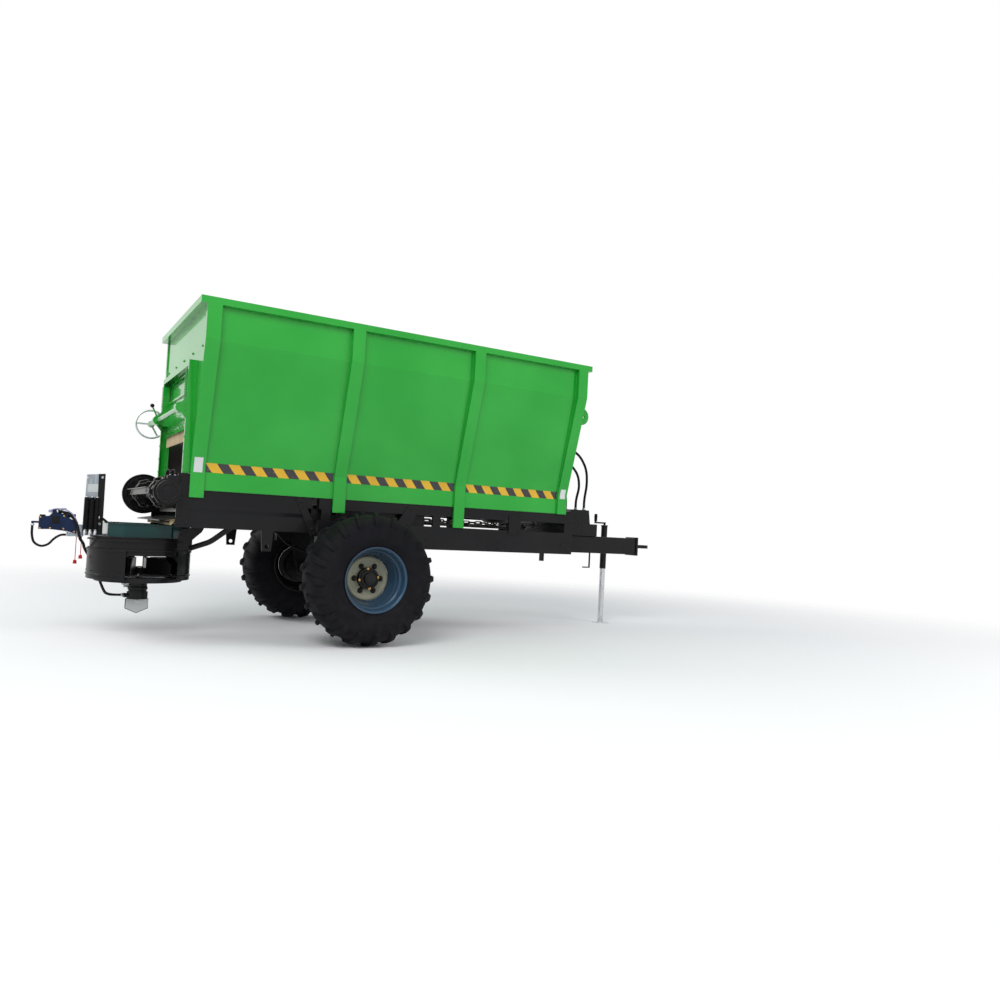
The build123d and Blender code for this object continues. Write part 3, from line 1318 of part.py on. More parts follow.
# Spinner disc with its throwing vanes and drive stub
with BuildPart() as spinner:
    with BuildSketch(Plane.XY.offset(SPIN_Z)):
        with Locations((AX + DRUM_X, 0)):
            Circle(SPIN_R)
    extrude(amount=SPIN_T)
    with BuildSketch(Plane.XY.offset(SPIN_Z + SPIN_T)):
        with Locations((AX + DRUM_X, 0)):
            Circle(60)
    extrude(amount=40, taper=20)
    # Each vane is a tall plate with a lip folded over its top
    for n in range(VANE_COUNT):
        turn = math.radians(n * 360 / VANE_COUNT + VANE_TURN)
        out = Vector(math.cos(turn), math.sin(turn), 0)
        along = Vector(math.sin(turn), -math.cos(turn), 0)
        face = Plane(origin=Vector(AX + DRUM_X, 0, SPIN_Z + SPIN_T) + along * 12, x_dir=out, z_dir=along)
        with BuildSketch(face):
            with BuildLine():
                Polyline(
                    (VANE_INNER, 0),
                    (SPIN_R - 8, 0),
                    (SPIN_R - 8, VANE_H - 44),
                    (SPIN_R - 60, VANE_H),
                    (VANE_INNER, VANE_H),
                    close=True,
                )
            make_face()
        extrude(amount=VANE_T)
        with BuildSketch(face):
            with Locations(((VANE_INNER + SPIN_R - 60) / 2, VANE_H - VANE_T / 2)):
                Rectangle(SPIN_R - 60 - VANE_INNER, VANE_T)
        extrude(amount=VANE_LIP)
    with BuildSketch(Plane.XY.offset(SPIN_MOTOR_TOP - 10 + SEAT)):
        with Locations((AX + DRUM_X, 0)):
            Circle(18)
    extrude(amount=SPIN_Z - SPIN_MOTOR_TOP + 10 - SEAT)
spinner.part.label = "spinner"
export_step(spinner.part, "parts/spinner.step")

# Hydraulic motor under the drum
with BuildPart() as spinner_motor:
    with BuildSketch(Plane.XY.offset(SPIN_MOTOR_BOTTOM)):
        with Locations((AX + DRUM_X, 0)):
            Circle(SPIN_MOTOR_R)
    extrude(amount=54)
    with BuildSketch(Plane.XY.offset(SPIN_MOTOR_BOTTOM + 54)):
        with Locations((AX + DRUM_X, 0)):
            Circle(SPIN_MOTOR_R - 9)
    extrude(amount=SPIN_MOTOR_TOP - 10 - SPIN_MOTOR_BOTTOM - 54)
    for port_y in (-26, 26):
        with BuildSketch(Plane.YZ.offset(AX + DRUM_X - SPIN_MOTOR_R - 22)):
            with Locations((port_y, SPIN_MOTOR_BOTTOM + 26)):
                Circle(14)
        extrude(amount=60)
spinner_motor.part.label = "spinner_motor"
export_step(spinner_motor.part, "parts/spinner_motor.step")

# Pointed foot plate hung under the motor
with BuildPart() as foot_plate:
    with BuildSketch(Plane.XZ.offset(FOOT_T / 2)):
        with BuildLine():
            Polyline(
                (AX + DRUM_X - FOOT_W / 2, FOOT_TOP),
                (AX + DRUM_X + FOOT_W / 2, FOOT_TOP),
                (AX + DRUM_X + FOOT_W / 2, FOOT_BOTTOM + 36),
                (AX + DRUM_X, FOOT_BOTTOM),
                (AX + DRUM_X - FOOT_W / 2, FOOT_BOTTOM + 36),
                close=True,
            )
        make_face()
    extrude(amount=-FOOT_T)
foot_plate.part.label = "foot_plate"
export_step(foot_plate.part, "parts/foot_plate.step")

# Pieces behind the tray: ends of the hoses, coils and hung caps
LOOP_R = 8
LOOP_Y = -50
LOOP_TOP = 782
LOOP_END_X = 1942
LOOP_END_Z = 714
TERMINAL_X = 2024
TETHER_R = 2.5
CAP_R = 13
CAP_H = 26
CONDUIT_R = 10
CONDUIT_Y = -66
COIL_Y = 38
COIL_L = 60

# Upright plate behind the tray
TRAY_X0 = AX + DRUM_X + 5 - TRAY_L / 2
with BuildPart() as upright_plate:
    with BuildSketch(Plane.XZ.offset(60)):
        with BuildLine():
            Polyline(
                (AX - 1845, 1150),
                (AX - 1725, 1165),
                (AX - 1722, DRUM_TOP + SEAT),
                (AX - 1850, DRUM_TOP + SEAT),
                close=True,
            )
        make_face()
    extrude(amount=-8)
    with BuildSketch(Plane.XZ.offset(60)):
        with BuildLine():
            Polyline(
                (AX - 1733, 1164),
                (AX - 1725, 1165),
                (AX - 1722, DRUM_TOP + SEAT),
                (AX - 1730, DRUM_TOP + SEAT),
                close=True,
            )
        make_face()
    extrude(amount=-110)
    with BuildSketch(Plane.XY.offset(DRUM_TOP + 5)):
        with Locations(((TRAY_X0 + AX - 1730) / 2 - SEAT / 2, 0)):
            Rectangle(TRAY_X0 - AX + 1730 - SEAT, 90)
    extrude(amount=10)
    with BuildSketch(Plane.XZ.offset(60)):
        with BuildLine():
            Polyline(
                (AX - 1960, 738 - SEAT),
                (AX - 1889, 720 - SEAT),
                (AX - 1889, 790),
                (AX - 1845, 790),
                (AX - 1845, DRUM_TOP + SEAT),
                (AX - 1915, 704),
                close=True,
            )
        make_face()
    extrude(amount=-70)
    # Union at the arm's end for the looped hose
    with BuildSketch(Plane.YZ.offset(AX - LOOP_END_X)):
        with Locations((LOOP_Y, LOOP_END_Z)):
            Circle(LOOP_R + 2)
    extrude(amount=30)
upright_plate.part.label = "upright_plate"
export_step(upright_plate.part, "parts/upright_plate.step")

# Three ribbed cylinders of the control block in front of the upright
with BuildPart() as ribbed_block:
    for n in range(3):
        with BuildSketch(Plane.XY.offset(DRUM_TOP + 3)):
            with Locations((AX - 1838 + 34 * n, -60 - 22 - SEAT)):
                RectangleRounded(32, 44, 12)
        extrude(amount=276)
    with BuildSketch(Plane.XY.offset(DRUM_TOP + 8)):
        with Locations((AX - 1804, -60 - 14 - SEAT)):
            Rectangle(96, 28)
    extrude(amount=250)
ribbed_block.part.label = "ribbed_block"
export_step(ribbed_block.part, "parts/ribbed_block.step")

# Valve block on its arm behind the upright
with BuildPart() as valve_block:
    with BuildSketch(Plane.XZ.offset(80)):
        with BuildLine():
            Polyline(
                (AX - 2124, 837),
                (AX - 2062, 842),
                (AX - 2046, 862),
                (AX - 1976, 862),
                (AX - 1890, 800),
                (AX - 1890, 722),
                (AX - 1953, 740),
                (AX - 2059, 750),
                (AX - 2124, 747),
                close=True,
            )
        make_face()
    extrude(amount=-110)
    # Two solenoids with their plugs lie on top
    for coil_x, coil_z in ((-2010, 872), (-1950, 858)):
        with BuildSketch(Plane.XZ.offset(COIL_Y)):
            with Locations(Location((AX + coil_x, coil_z), -14)):
                RectangleRounded(50, 38, 6)
        extrude(amount=-COIL_L)
        with BuildSketch(Plane.XZ.offset(COIL_Y + 14)):
            with Locations((AX + coil_x, coil_z)):
                Circle(11)
        extrude(amount=-COIL_L - 28)
    # Elbow at the rear port
    with BuildSketch(Plane.YZ.offset(AX - 2124)):
        with Locations((LOOP_Y, 796)):
            Circle(7)
    extrude(amount=-(REAR_REACH - LOOP_R - 2124))
    with BuildSketch(Plane.XY.offset(LOOP_TOP)):
        with Locations((AX - REAR_REACH + LOOP_R, LOOP_Y)):
            Circle(LOOP_R)
    extrude(amount=20)
    # Terminal on top for the conduit
    with BuildSketch(Plane.XY.offset(855)):
        with Locations((AX - TERMINAL_X - 11, CONDUIT_Y)):
            Rectangle(22, 26)
    extrude(amount=34)
valve_block.part.label = "valve_block"
export_step(valve_block.part, "parts/valve_block.step")

# Parking jack: outer tube clamped beside the drawbar, and the leg that slides in it
JACK_LEG_R = JACK_OUT_R - JACK_WALL - SEAT
JACK_Y = DRAWBAR_W / 2 + JACK_OUT_R + 20
with BuildPart() as jack_tube:
    with BuildSketch(Plane.XY.offset(JACK_BOTTOM)):
        with Locations((AX + JACK_X, JACK_Y)):
            Circle(JACK_OUT_R)
            Circle(JACK_OUT_R - JACK_WALL, mode=Mode.SUBTRACT)
    extrude(amount=JACK_TOP - JACK_BOTTOM - 12)
    with BuildSketch(Plane.XY.offset(JACK_TOP - 12)):
        with Locations((AX + JACK_X, JACK_Y)):
            Circle(JACK_OUT_R + 4)
    extrude(amount=12)
    for low in (DRAWBAR_BOTTOM + 14, DRAWBAR_BOTTOM + DRAWBAR_H - 44):
        with BuildSketch(Plane.XY.offset(low)):
            with Locations((AX + JACK_X, (DRAWBAR_W / 2 + JACK_Y) / 2)):
                Rectangle(90, JACK_Y - DRAWBAR_W / 2)
            with Locations((AX + JACK_X, JACK_Y)):
                Circle(JACK_OUT_R - 1, mode=Mode.SUBTRACT)
        extrude(amount=30)
    # Crank on the cap
    with BuildSketch(Plane.XY.offset(JACK_TOP)):
        with Locations((AX + JACK_X, JACK_Y)):
            Circle(11)
    extrude(amount=30)
    with BuildSketch(Plane.XZ.offset(-JACK_Y - 8)):
        with BuildLine():
            Polyline(
                (AX + JACK_X + 11, JACK_TOP + 14),
                (AX + JACK_X - 130, JACK_TOP + 14),
                (AX + JACK_X - 130, JACK_TOP + 30),
                (AX + JACK_X + 11, JACK_TOP + 30),
                close=True,
            )
        make_face()
    extrude(amount=16)
    with BuildSketch(Plane.XY.offset(JACK_TOP + 30)):
        with Locations((AX + JACK_X - 118, JACK_Y)):
            Circle(11)
    extrude(amount=80)
jack_tube.part.label = "jack_tube"
export_step(jack_tube.part, "parts/jack_tube.step")

with BuildPart() as jack_leg:
    with BuildSketch(Plane.XY):
        with Locations((AX + JACK_X, JACK_Y)):
            Circle(JACK_FOOT_R)
    extrude(amount=JACK_FOOT_T)
    with BuildSketch(Plane.XY.offset(JACK_FOOT_T)):
        with Locations((AX + JACK_X, JACK_Y)):
            Circle(JACK_LEG_R)
    extrude(amount=JACK_BOTTOM + 140)
jack_leg.part.label = "jack_leg"
export_step(jack_leg.part, "parts/jack_leg.step")


# Hoses: straight runs joined by arcs as wide as their two runs allow
def bend_radii(points):
    """One radius for each inner point: 0.45 of the shorter run over the tangent of half the turn."""
    radii = []
    for a, b, c in zip(points, points[1:], points[2:]):
        u = Vector(*b) - Vector(*a)
        v = Vector(*c) - Vector(*b)
        half = math.radians(u.get_angle(v)) / 2
        radii.append(0.45 * min(u.length, v.length) / math.tan(half))
    return radii


HOSE_R = 9
BRACKET_TOP = BOX_Z + BOX_H + BRACKET_H + SEAT
WALL_FACE = FRONT_WALL_X - AX + WALL + SEAT
FRONT_HOSES = [
    [(2590, -60, 0), (2590, -60, 110), (2622, -52, 260), (2612, -46, 410), (2530, -38, 540), (2400, -30, 605),
     (2250, -22, 610), (2120, -16, 560), (2050, -12, 505), (WALL_FACE, -12, 505)],
    [(2535, 4, 0), (2535, 4, 100), (2566, -2, 230), (2540, -6, 350), (2450, -10, 440), (2320, -16, 480),
     (2190, -22, 460), (2090, -30, 410), (2040, -34, 380), (WALL_FACE, -34, 380)],
    [(2460, 68, 0), (2460, 68, 90), (2446, 72, 180), (2400, 76, 260), (2310, 80, 305), (2210, 84, 295),
     (2120, 90, 250), (2055, 92, 205), (WALL_FACE, 92, 205)],
]
with BuildPart() as front_hoses:
    for route in FRONT_HOSES:
        points = [(AX + x, y, BRACKET_TOP + rise) for x, y, rise in route]
        radii = bend_radii(points)
        print("front hose radii", [round(r) for r in radii])
        with BuildLine() as path:
            FilletPolyline(*points, radius=radii)
        with BuildSketch(Plane(origin=path.line @ 0, z_dir=path.line % 0)):
            Circle(HOSE_R)
        sweep(path=path.line)
front_hoses.part.label = "front_hoses"
export_step(front_hoses.part, "parts/front_hoses.step")

REAR_HOSES = [
    (
        LOOP_R,
        [
            (-REAR_REACH + LOOP_R, LOOP_Y, LOOP_TOP - SEAT),
            (-REAR_REACH + LOOP_R, LOOP_Y, 708),
            (-2148, LOOP_Y, 652),
            (-2102, LOOP_Y, 626),
            (-2056, LOOP_Y, 642),
            (-2026, LOOP_Y, 684),
            (-1984, LOOP_Y, LOOP_END_Z),
            (-LOOP_END_X - SEAT, LOOP_Y, LOOP_END_Z),
        ],
    ),
    (
        CONDUIT_R,
        [
            (-TERMINAL_X + SEAT, CONDUIT_Y, 876),
            (-1980, CONDUIT_Y, 876),
            (-1930, -84, 852),
            (-1892, -95, 800),
            (-1876, -96, 742),
            (-1866, -84, 692),
            (-1836, -24, 656),
            (-1826, 50, 628),
            (-1804, 130, 590),
            (-1766, 200, 540),
            (-1728, 246, 478),
            (-1706, 274, 420),
            (-1684, 240, 352),
            (-1668, 176, 308),
            (-1660, 108, 290),
            (-1636, 52, SPIN_MOTOR_BOTTOM + 26),
            (-1594, 26, SPIN_MOTOR_BOTTOM + 26),
            (DRUM_X - SPIN_MOTOR_R - 22 - SEAT, 26, SPIN_MOTOR_BOTTOM + 26),
        ],
    ),
]
with BuildPart() as rear_hoses:
    for radius, route in REAR_HOSES:
        points = [(AX + x, y, z) for x, y, z in route]
        radii = bend_radii(points)
        print("rear hose radii", [round(r) for r in radii])
        with BuildLine() as path:
            FilletPolyline(*points, radius=radii)
        with BuildSketch(Plane(origin=path.line @ 0, z_dir=path.line % 0)):
            Circle(radius)
        sweep(path=path.line)
rear_hoses.part.label = "rear_hoses"
export_step(rear_hoses.part, "parts/rear_hoses.step")

# Dust caps of the ports, each hung on a thin tether that its weight pulls straight
CAP_TETHERS = [
    # x, y, top of the tether, top of its cap
    (-1883, -20, 708, 536),
    (-1850, -20, 713, 572),
]
with BuildPart() as cap_tethers:
    for x, y, top, cap_top in CAP_TETHERS:
        with BuildSketch(Plane.XY.offset(cap_top)):
            with Locations((AX + x, y)):
                Circle(TETHER_R)
        extrude(amount=top - cap_top)
        with BuildSketch(Plane.XY.offset(cap_top - CAP_H)):
            with Locations((AX + x, y)):
                Circle(CAP_R)
        extrude(amount=CAP_H, taper=6)
cap_tethers.part.label = "cap_tethers"
export_step(cap_tethers.part, "parts/cap_tethers.step")
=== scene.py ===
# %% [markdown]
# A towed manure spreader is dressed here: an open green hopper on a black chassis, a disc spreader under
# the tail, two lugged tyres and a parking jack. The solid model holds every size and every joint, so this
# script only gives it its finishes and the small things that a solid model leaves out.
# The first cell loads that model. Each of its pieces keeps its place, and each new piece will ride on one
# of its bodies, so that wheels, gate, spinner and jack still move.

# %% Load the solid model
import math

import bmesh
import bpy
import numpy as np
from mathutils import Matrix, Vector


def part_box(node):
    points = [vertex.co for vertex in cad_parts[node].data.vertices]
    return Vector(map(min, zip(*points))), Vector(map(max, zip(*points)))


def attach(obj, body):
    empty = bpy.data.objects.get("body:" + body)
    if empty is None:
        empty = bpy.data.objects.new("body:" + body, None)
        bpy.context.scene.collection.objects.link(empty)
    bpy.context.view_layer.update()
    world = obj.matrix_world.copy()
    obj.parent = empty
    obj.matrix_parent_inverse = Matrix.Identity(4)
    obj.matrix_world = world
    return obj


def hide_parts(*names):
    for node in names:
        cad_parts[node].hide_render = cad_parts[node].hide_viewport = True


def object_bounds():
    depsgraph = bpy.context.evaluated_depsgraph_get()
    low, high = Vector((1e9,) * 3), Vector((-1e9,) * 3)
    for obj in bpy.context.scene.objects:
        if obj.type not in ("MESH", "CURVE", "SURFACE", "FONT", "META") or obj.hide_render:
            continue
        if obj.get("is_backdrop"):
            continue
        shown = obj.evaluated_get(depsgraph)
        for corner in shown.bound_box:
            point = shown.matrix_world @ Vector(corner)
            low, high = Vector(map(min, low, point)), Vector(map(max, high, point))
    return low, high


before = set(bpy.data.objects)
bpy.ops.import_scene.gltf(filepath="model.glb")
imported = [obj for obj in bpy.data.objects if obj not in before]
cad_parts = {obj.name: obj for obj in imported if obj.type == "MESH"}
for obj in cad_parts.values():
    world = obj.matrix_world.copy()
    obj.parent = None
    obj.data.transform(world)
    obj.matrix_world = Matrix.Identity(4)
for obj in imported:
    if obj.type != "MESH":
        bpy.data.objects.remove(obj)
solid_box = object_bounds()

# %% [markdown]
# A camera has to stand where the photographer stood, or no proportion will match. Its place, its three
# turns and its lens were worked out from corners of the machine that can be seen in the picture.

# %% Camera
CAMERA_PLACE = (-2.9498, -6.5363, 0.9054)
CAMERA_YAW = math.radians(31.0768)
CAMERA_PITCH = math.radians(2.1127)
CAMERA_ROLL = math.radians(2.936)
CAMERA_LENS = 29.104


def turned_camera(yaw, pitch, roll):
    """Right, up and back vectors: the view line from yaw and pitch, then a turn by roll around it."""
    view = np.array([math.sin(yaw) * math.cos(pitch), math.cos(yaw) * math.cos(pitch), math.sin(pitch)])
    level = np.array([math.cos(yaw), -math.sin(yaw), 0.0])
    upright = np.cross(level, view)
    right = math.cos(roll) * level + math.sin(roll) * upright
    up = math.cos(roll) * upright - math.sin(roll) * level
    return right, up, -view


camera_data = bpy.data.cameras.new("camera")
camera_data.lens = CAMERA_LENS
camera_data.sensor_width = 36.0
camera_data.clip_end = 200.0
camera = bpy.data.objects.new("camera", camera_data)
right, up, back = turned_camera(CAMERA_YAW, CAMERA_PITCH, CAMERA_ROLL)
matrix = np.eye(4)
matrix[:3, 0] = right
matrix[:3, 1] = up
matrix[:3, 2] = back
matrix[:3, 3] = CAMERA_PLACE
camera.matrix_world = Matrix(matrix.tolist())
bpy.context.collection.objects.link(camera)
bpy.context.scene.camera = camera
bpy.context.scene.view_settings.view_transform = "Standard"
print("camera at", CAMERA_PLACE)

# %% [markdown]
# Studio light for a painted machine has to be soft and even, because glossy paint shows every lamp. A white
# world gives the reflections, a weaker grey one the fill, and three large lamps the modelling. The lamp at
# the front is kept out of the mirror images, where it would lie on the sides as a pale veil. The floor is a
# pale disc that fades out before its rim shows, so that only the shadow tells where it is.

# %% World, lamps and floor
FILL_STRENGTH = 0.50
FILL_COLOUR = (0.93, 0.96, 1.0, 1.0)
FLOOR_RADIUS = 16.0
FLOOR_COLOUR = (0.93, 0.935, 0.94, 1.0)
LAMPS = [
    # name, place, aim, side length in metres, watts, mirrored in gloss
    ("key", (-6.0, -7.0, 7.5), (-0.6, 0.0, 1.2), 5.0, 520.0, True),
    ("front_fill", (5.5, -7.0, 4.5), (0.4, 0.0, 1.0), 5.0, 280.0, False),
    ("rear_rim", (-7.5, 4.5, 5.5), (-1.8, 0.0, 1.3), 4.0, 280.0, True),
]


def add(tree, kind, inputs=(), **settings):
    """A node of that kind: settings are its own properties, inputs give a socket a value or a source."""
    made = tree.nodes.new(kind)
    for name, value in settings.items():
        setattr(made, name, value)
    for key, value in dict(inputs).items():
        if isinstance(value, bpy.types.NodeSocket):
            tree.links.new(value, made.inputs[key])
        else:
            made.inputs[key].default_value = value
    return made


def either(tree, first, *others):
    """The largest of several 0 to 1 sockets."""
    result = first
    for other in others:
        result = add(tree, "ShaderNodeMath", {0: result, 1: other}, operation="MAXIMUM").outputs[0]
    return result


world = bpy.data.worlds.new("studio")
world.use_nodes = True
world.node_tree.nodes.clear()
path = add(world.node_tree, "ShaderNodeLightPath").outputs
seen = either(world.node_tree, path["Is Camera Ray"], path["Is Glossy Ray"], path["Is Transmission Ray"])
fill = add(world.node_tree, "ShaderNodeBackground", {"Color": FILL_COLOUR, "Strength": FILL_STRENGTH})
white = add(world.node_tree, "ShaderNodeBackground", {"Color": (1.0, 1.0, 1.0, 1.0), "Strength": 1.0})
mixed = add(world.node_tree, "ShaderNodeMixShader", {0: seen, 1: fill.outputs[0], 2: white.outputs[0]})
add(world.node_tree, "ShaderNodeOutputWorld", {"Surface": mixed.outputs[0]})
bpy.context.scene.world = world

for name, place, aim, side, watts, mirrored_in_gloss in LAMPS:
    lamp = bpy.data.lights.new(name, "AREA")
    lamp.shape = "SQUARE"
    lamp.size = side
    lamp.energy = watts
    holder = bpy.data.objects.new(name, lamp)
    holder.location = place
    holder.visible_glossy = mirrored_in_gloss
    holder.rotation_euler = (Vector(aim) - Vector(place)).to_track_quat("-Z", "Y").to_euler()
    bpy.context.collection.objects.link(holder)


def new_material(name):
    """An empty node material and its tree."""
    material = bpy.data.materials.new(name)
    material.use_nodes = True
    material.node_tree.nodes.clear()
    return material, material.node_tree


floor_material, tree = new_material("studio_floor")
from_middle = add(tree, "ShaderNodeTexCoord").outputs["Object"]
reach = add(tree, "ShaderNodeVectorMath", {0: from_middle}, operation="LENGTH")
fade = add(
    tree,
    "ShaderNodeMapRange",
    {"Value": reach.outputs["Value"], "From Min": 0.20 * FLOOR_RADIUS, "From Max": 0.55 * FLOOR_RADIUS},
    interpolation_type="SMOOTHSTEP",
)
matt = add(tree, "ShaderNodeBsdfDiffuse", {"Color": FLOOR_COLOUR})
clear = add(tree, "ShaderNodeBsdfTransparent")
mixed = add(tree, "ShaderNodeMixShader", {0: fade.outputs[0], 1: matt.outputs[0], 2: clear.outputs[0]})
add(tree, "ShaderNodeOutputMaterial", {"Surface": mixed.outputs[0]})

angles = np.linspace(0, 2 * math.pi, 96, endpoint=False)
floor_mesh = bpy.data.meshes.new("studio_floor")
floor_points = FLOOR_RADIUS * np.stack([np.cos(angles), np.sin(angles), 0 * angles], 1)
floor_mesh.from_pydata(floor_points.tolist(), [], [list(range(len(angles)))])
floor_mesh.materials.append(floor_material)
floor = bpy.data.objects.new("studio_floor", floor_mesh)
bpy.context.collection.objects.link(floor)
floor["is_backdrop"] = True
print("lamps", len(LAMPS), "floor radius", FLOOR_RADIUS)

# %% [markdown]
# A finish on a real machine is never one colour: paint is worn at the edges, dust lies on what faces up,
# and the sheet under it is a little wavy. These three effects are needed by most materials, so each is a
# node group made once. Every material sets its own amounts and keeps its own shader.

# %% Shared effects
def new_group(name, inputs, outputs):
    """A shader node group with named number inputs and named number outputs."""
    group = bpy.data.node_groups.new(name, "ShaderNodeTree")
    for label, value in inputs:
        socket = group.interface.new_socket(label, in_out="INPUT", socket_type="NodeSocketFloat")
        socket.default_value = value
    for label in outputs:
        group.interface.new_socket(label, in_out="OUTPUT", socket_type="NodeSocketFloat")
    return group, group.nodes.new("NodeGroupInput").outputs, group.nodes.new("NodeGroupOutput")


def noise(tree, scale, detail=3.0, vector=None):
    """Noise from 0 to 1 over object coordinates, with that many blotches to the metre."""
    where = vector or add(tree, "ShaderNodeTexCoord").outputs["Object"]
    return add(tree, "ShaderNodeTexNoise", {"Vector": where, "Scale": scale, "Detail": detail}).outputs["Fac"]


def ramp(tree, value, low, high, out_low=0.0, out_high=1.0):
    """value from low to high becomes out_low to out_high, held at both ends."""
    sockets = {"Value": value, "From Min": low, "From Max": high, "To Min": out_low, "To Max": out_high}
    return add(tree, "ShaderNodeMapRange", sockets).outputs[0]


def times(tree, first, second):
    """Product of two numbers or sockets."""
    return add(tree, "ShaderNodeMath", {0: first, 1: second}, operation="MULTIPLY").outputs[0]


edge_group, given, result = new_group("edge_wear", [("Width", 0.004), ("Blotches", 40.0)], ["Mask"])
softened = add(edge_group, "ShaderNodeBevel", {"Radius": given["Width"]}, samples=4).outputs[0]
facing = add(edge_group, "ShaderNodeNewGeometry").outputs["Normal"]
agree = add(edge_group, "ShaderNodeVectorMath", {0: softened, 1: facing}, operation="DOT_PRODUCT")
bend = ramp(edge_group, agree.outputs["Value"], 0.998, 0.90)
patchy = ramp(edge_group, noise(edge_group, given["Blotches"], 5.0), 0.46, 0.62)
edge_group.links.new(times(edge_group, bend, patchy), result.inputs["Mask"])

dust_group, given, result = new_group("settled_dust", [("Blotches", 6.0), ("Low", 0.35)], ["Mask"])
up = add(dust_group, "ShaderNodeSeparateXYZ", {0: add(dust_group, "ShaderNodeNewGeometry").outputs["Normal"]})
on_top = ramp(dust_group, up.outputs["Z"], 0.3, 1.0)
above_ground = add(dust_group, "ShaderNodeTexCoord").outputs["Object"]
height = add(dust_group, "ShaderNodeSeparateXYZ", {0: above_ground})
near_ground = times(dust_group, ramp(dust_group, height.outputs["Z"], 1.1, 0.0), given["Low"])
where = either(dust_group, on_top, near_ground)
patchy = ramp(dust_group, noise(dust_group, given["Blotches"], 6.0), 0.3, 0.8)
dust_group.links.new(times(dust_group, where, patchy), result.inputs["Mask"])

sheet_group, given, result = new_group("sheet_waves", [("Waves", 2.2), ("Grain", 0.05)], ["Height"])
slow = noise(sheet_group, given["Waves"], 1.0)
fine = times(sheet_group, noise(sheet_group, 420.0, 2.0), given["Grain"])
total = add(sheet_group, "ShaderNodeMath", {0: slow, 1: fine}, operation="ADD")
sheet_group.links.new(total.outputs[0], result.inputs["Height"])
print("node groups", [g.name for g in (edge_group, dust_group, sheet_group)])

# %% [markdown]
# Painted steel covers most of the machine. Its shader has a clear coat for the gloss and a slightly rougher
# base under it. Wear at the edges shows the primer, and dust is a pale film that also takes the gloss away.

# %% Painted steel
EDGE_ROUNDING = 0.003
DUST_COLOUR = (0.33, 0.29, 0.23, 1.0)
# painted shade: the dark tone laid on inner faces that lie in shade
INSIDE_SHADE_COLOUR = (0.055, 0.050, 0.047, 1.0)
GRIME_COLOUR = (0.06, 0.05, 0.035, 1.0)
INSIDE_CREASE = (1.246, 0.5765)  # height and half width of the hopper's inside
INSIDE_KINK = (2.103, 0.7925)
INSIDE_ENDS = (-1.8865, 1.2905)
INSIDE_TOP = 2.335


def mix_colour(tree, factor, first, second):
    """One colour over another by a mask."""
    return add(tree, "ShaderNodeMix", {0: factor, 6: first, 7: second}, data_type="RGBA").outputs[2]


def group_value(tree, group, **values):
    """Places a shared effect with its own values and returns its first output."""
    made = tree.nodes.new("ShaderNodeGroup")
    made.node_tree = group
    for name, value in values.items():
        made.inputs[name].default_value = value
    return made.outputs[0]


def finish_shader(tree, colour, roughness, height=None, depth=0.0, rounding=EDGE_ROUNDING, **settings):
    """Principled shader with a bump over softly rounded edges; settings are its plain sockets."""
    sockets = {"Base Color": colour, "Roughness": roughness}
    sockets.update({name.replace("_", " "): value for name, value in settings.items()})
    if rounding:
        sockets["Normal"] = add(tree, "ShaderNodeBevel", {"Radius": rounding}, samples=3).outputs[0]
    if height is not None:
        bump = {"Height": height, "Distance": depth, "Strength": 1.0}
        if rounding:
            bump["Normal"] = sockets["Normal"]
        sockets["Normal"] = add(tree, "ShaderNodeBump", bump).outputs[0]
    shader = add(tree, "ShaderNodeBsdfPrincipled", sockets)
    add(tree, "ShaderNodeOutputMaterial", {"Surface": shader.outputs[0]})


def painted(
    name, colour, shade, worn, wear=0.6, dust=0.25, gloss=0.3, waves=0.0012,
    coat=0.15, base_sheen=0.2, inside=None,
):
    """Gloss paint on steel: two close tones in large blotches, worn edges, dust, and slow waves."""
    material, tree = new_material(name)
    tone = mix_colour(tree, ramp(tree, noise(tree, 1.7, 2.0), 0.35, 0.65), (*colour, 1.0), (*shade, 1.0))
    # An inside mask lays painted shade, a dark tone on faces that lie in shade.
    if inside:
        tone = mix_colour(tree, inside(tree), tone, INSIDE_SHADE_COLOUR)
    edge = times(tree, group_value(tree, edge_group, Width=0.004, Blotches=38.0), wear)
    tone = mix_colour(tree, edge, tone, (*worn, 1.0))
    film = times(tree, group_value(tree, dust_group, Blotches=5.0, Low=0.3), dust)
    tone = mix_colour(tree, film, tone, DUST_COLOUR)
    rough = ramp(tree, either(tree, film, edge), 0.0, 1.0, gloss, 0.75)
    waviness = group_value(tree, sheet_group, Waves=2.4, Grain=0.02)
    sheen = {"Coat_Weight": coat, "Coat_Roughness": 0.06, "Specular_IOR_Level": base_sheen}
    finish_shader(tree, tone, rough, waviness, waves, **sheen)
    return material


def hopper_inside_shade(tree):
    """Mask of the hopper's inner faces, which get painted shade: 1 where x lies between the end walls, z
    below the rim, and |y| under the inner half width, which is a clamped straight line of z."""
    where = add(tree, "ShaderNodeSeparateXYZ", {0: add(tree, "ShaderNodeTexCoord").outputs["Object"]}).outputs
    half = ramp(tree, where["Z"], INSIDE_CREASE[0], INSIDE_KINK[0], INSIDE_CREASE[1], INSIDE_KINK[1])
    across = add(tree, "ShaderNodeMath", {0: where["Y"]}, operation="ABSOLUTE").outputs[0]
    rear, front = INSIDE_ENDS
    tests = [(half, across), (where["X"], rear), (front, where["X"]), (INSIDE_TOP, where["Z"])]
    mask = ramp(tree, noise(tree, 5.0, 6.0), 0.24, 0.42, 0.6, 1.0)
    for larger, smaller in tests:
        passed = add(tree, "ShaderNodeMath", {0: larger, 1: smaller}, operation="GREATER_THAN").outputs[0]
        mask = times(tree, mask, passed)
    return mask


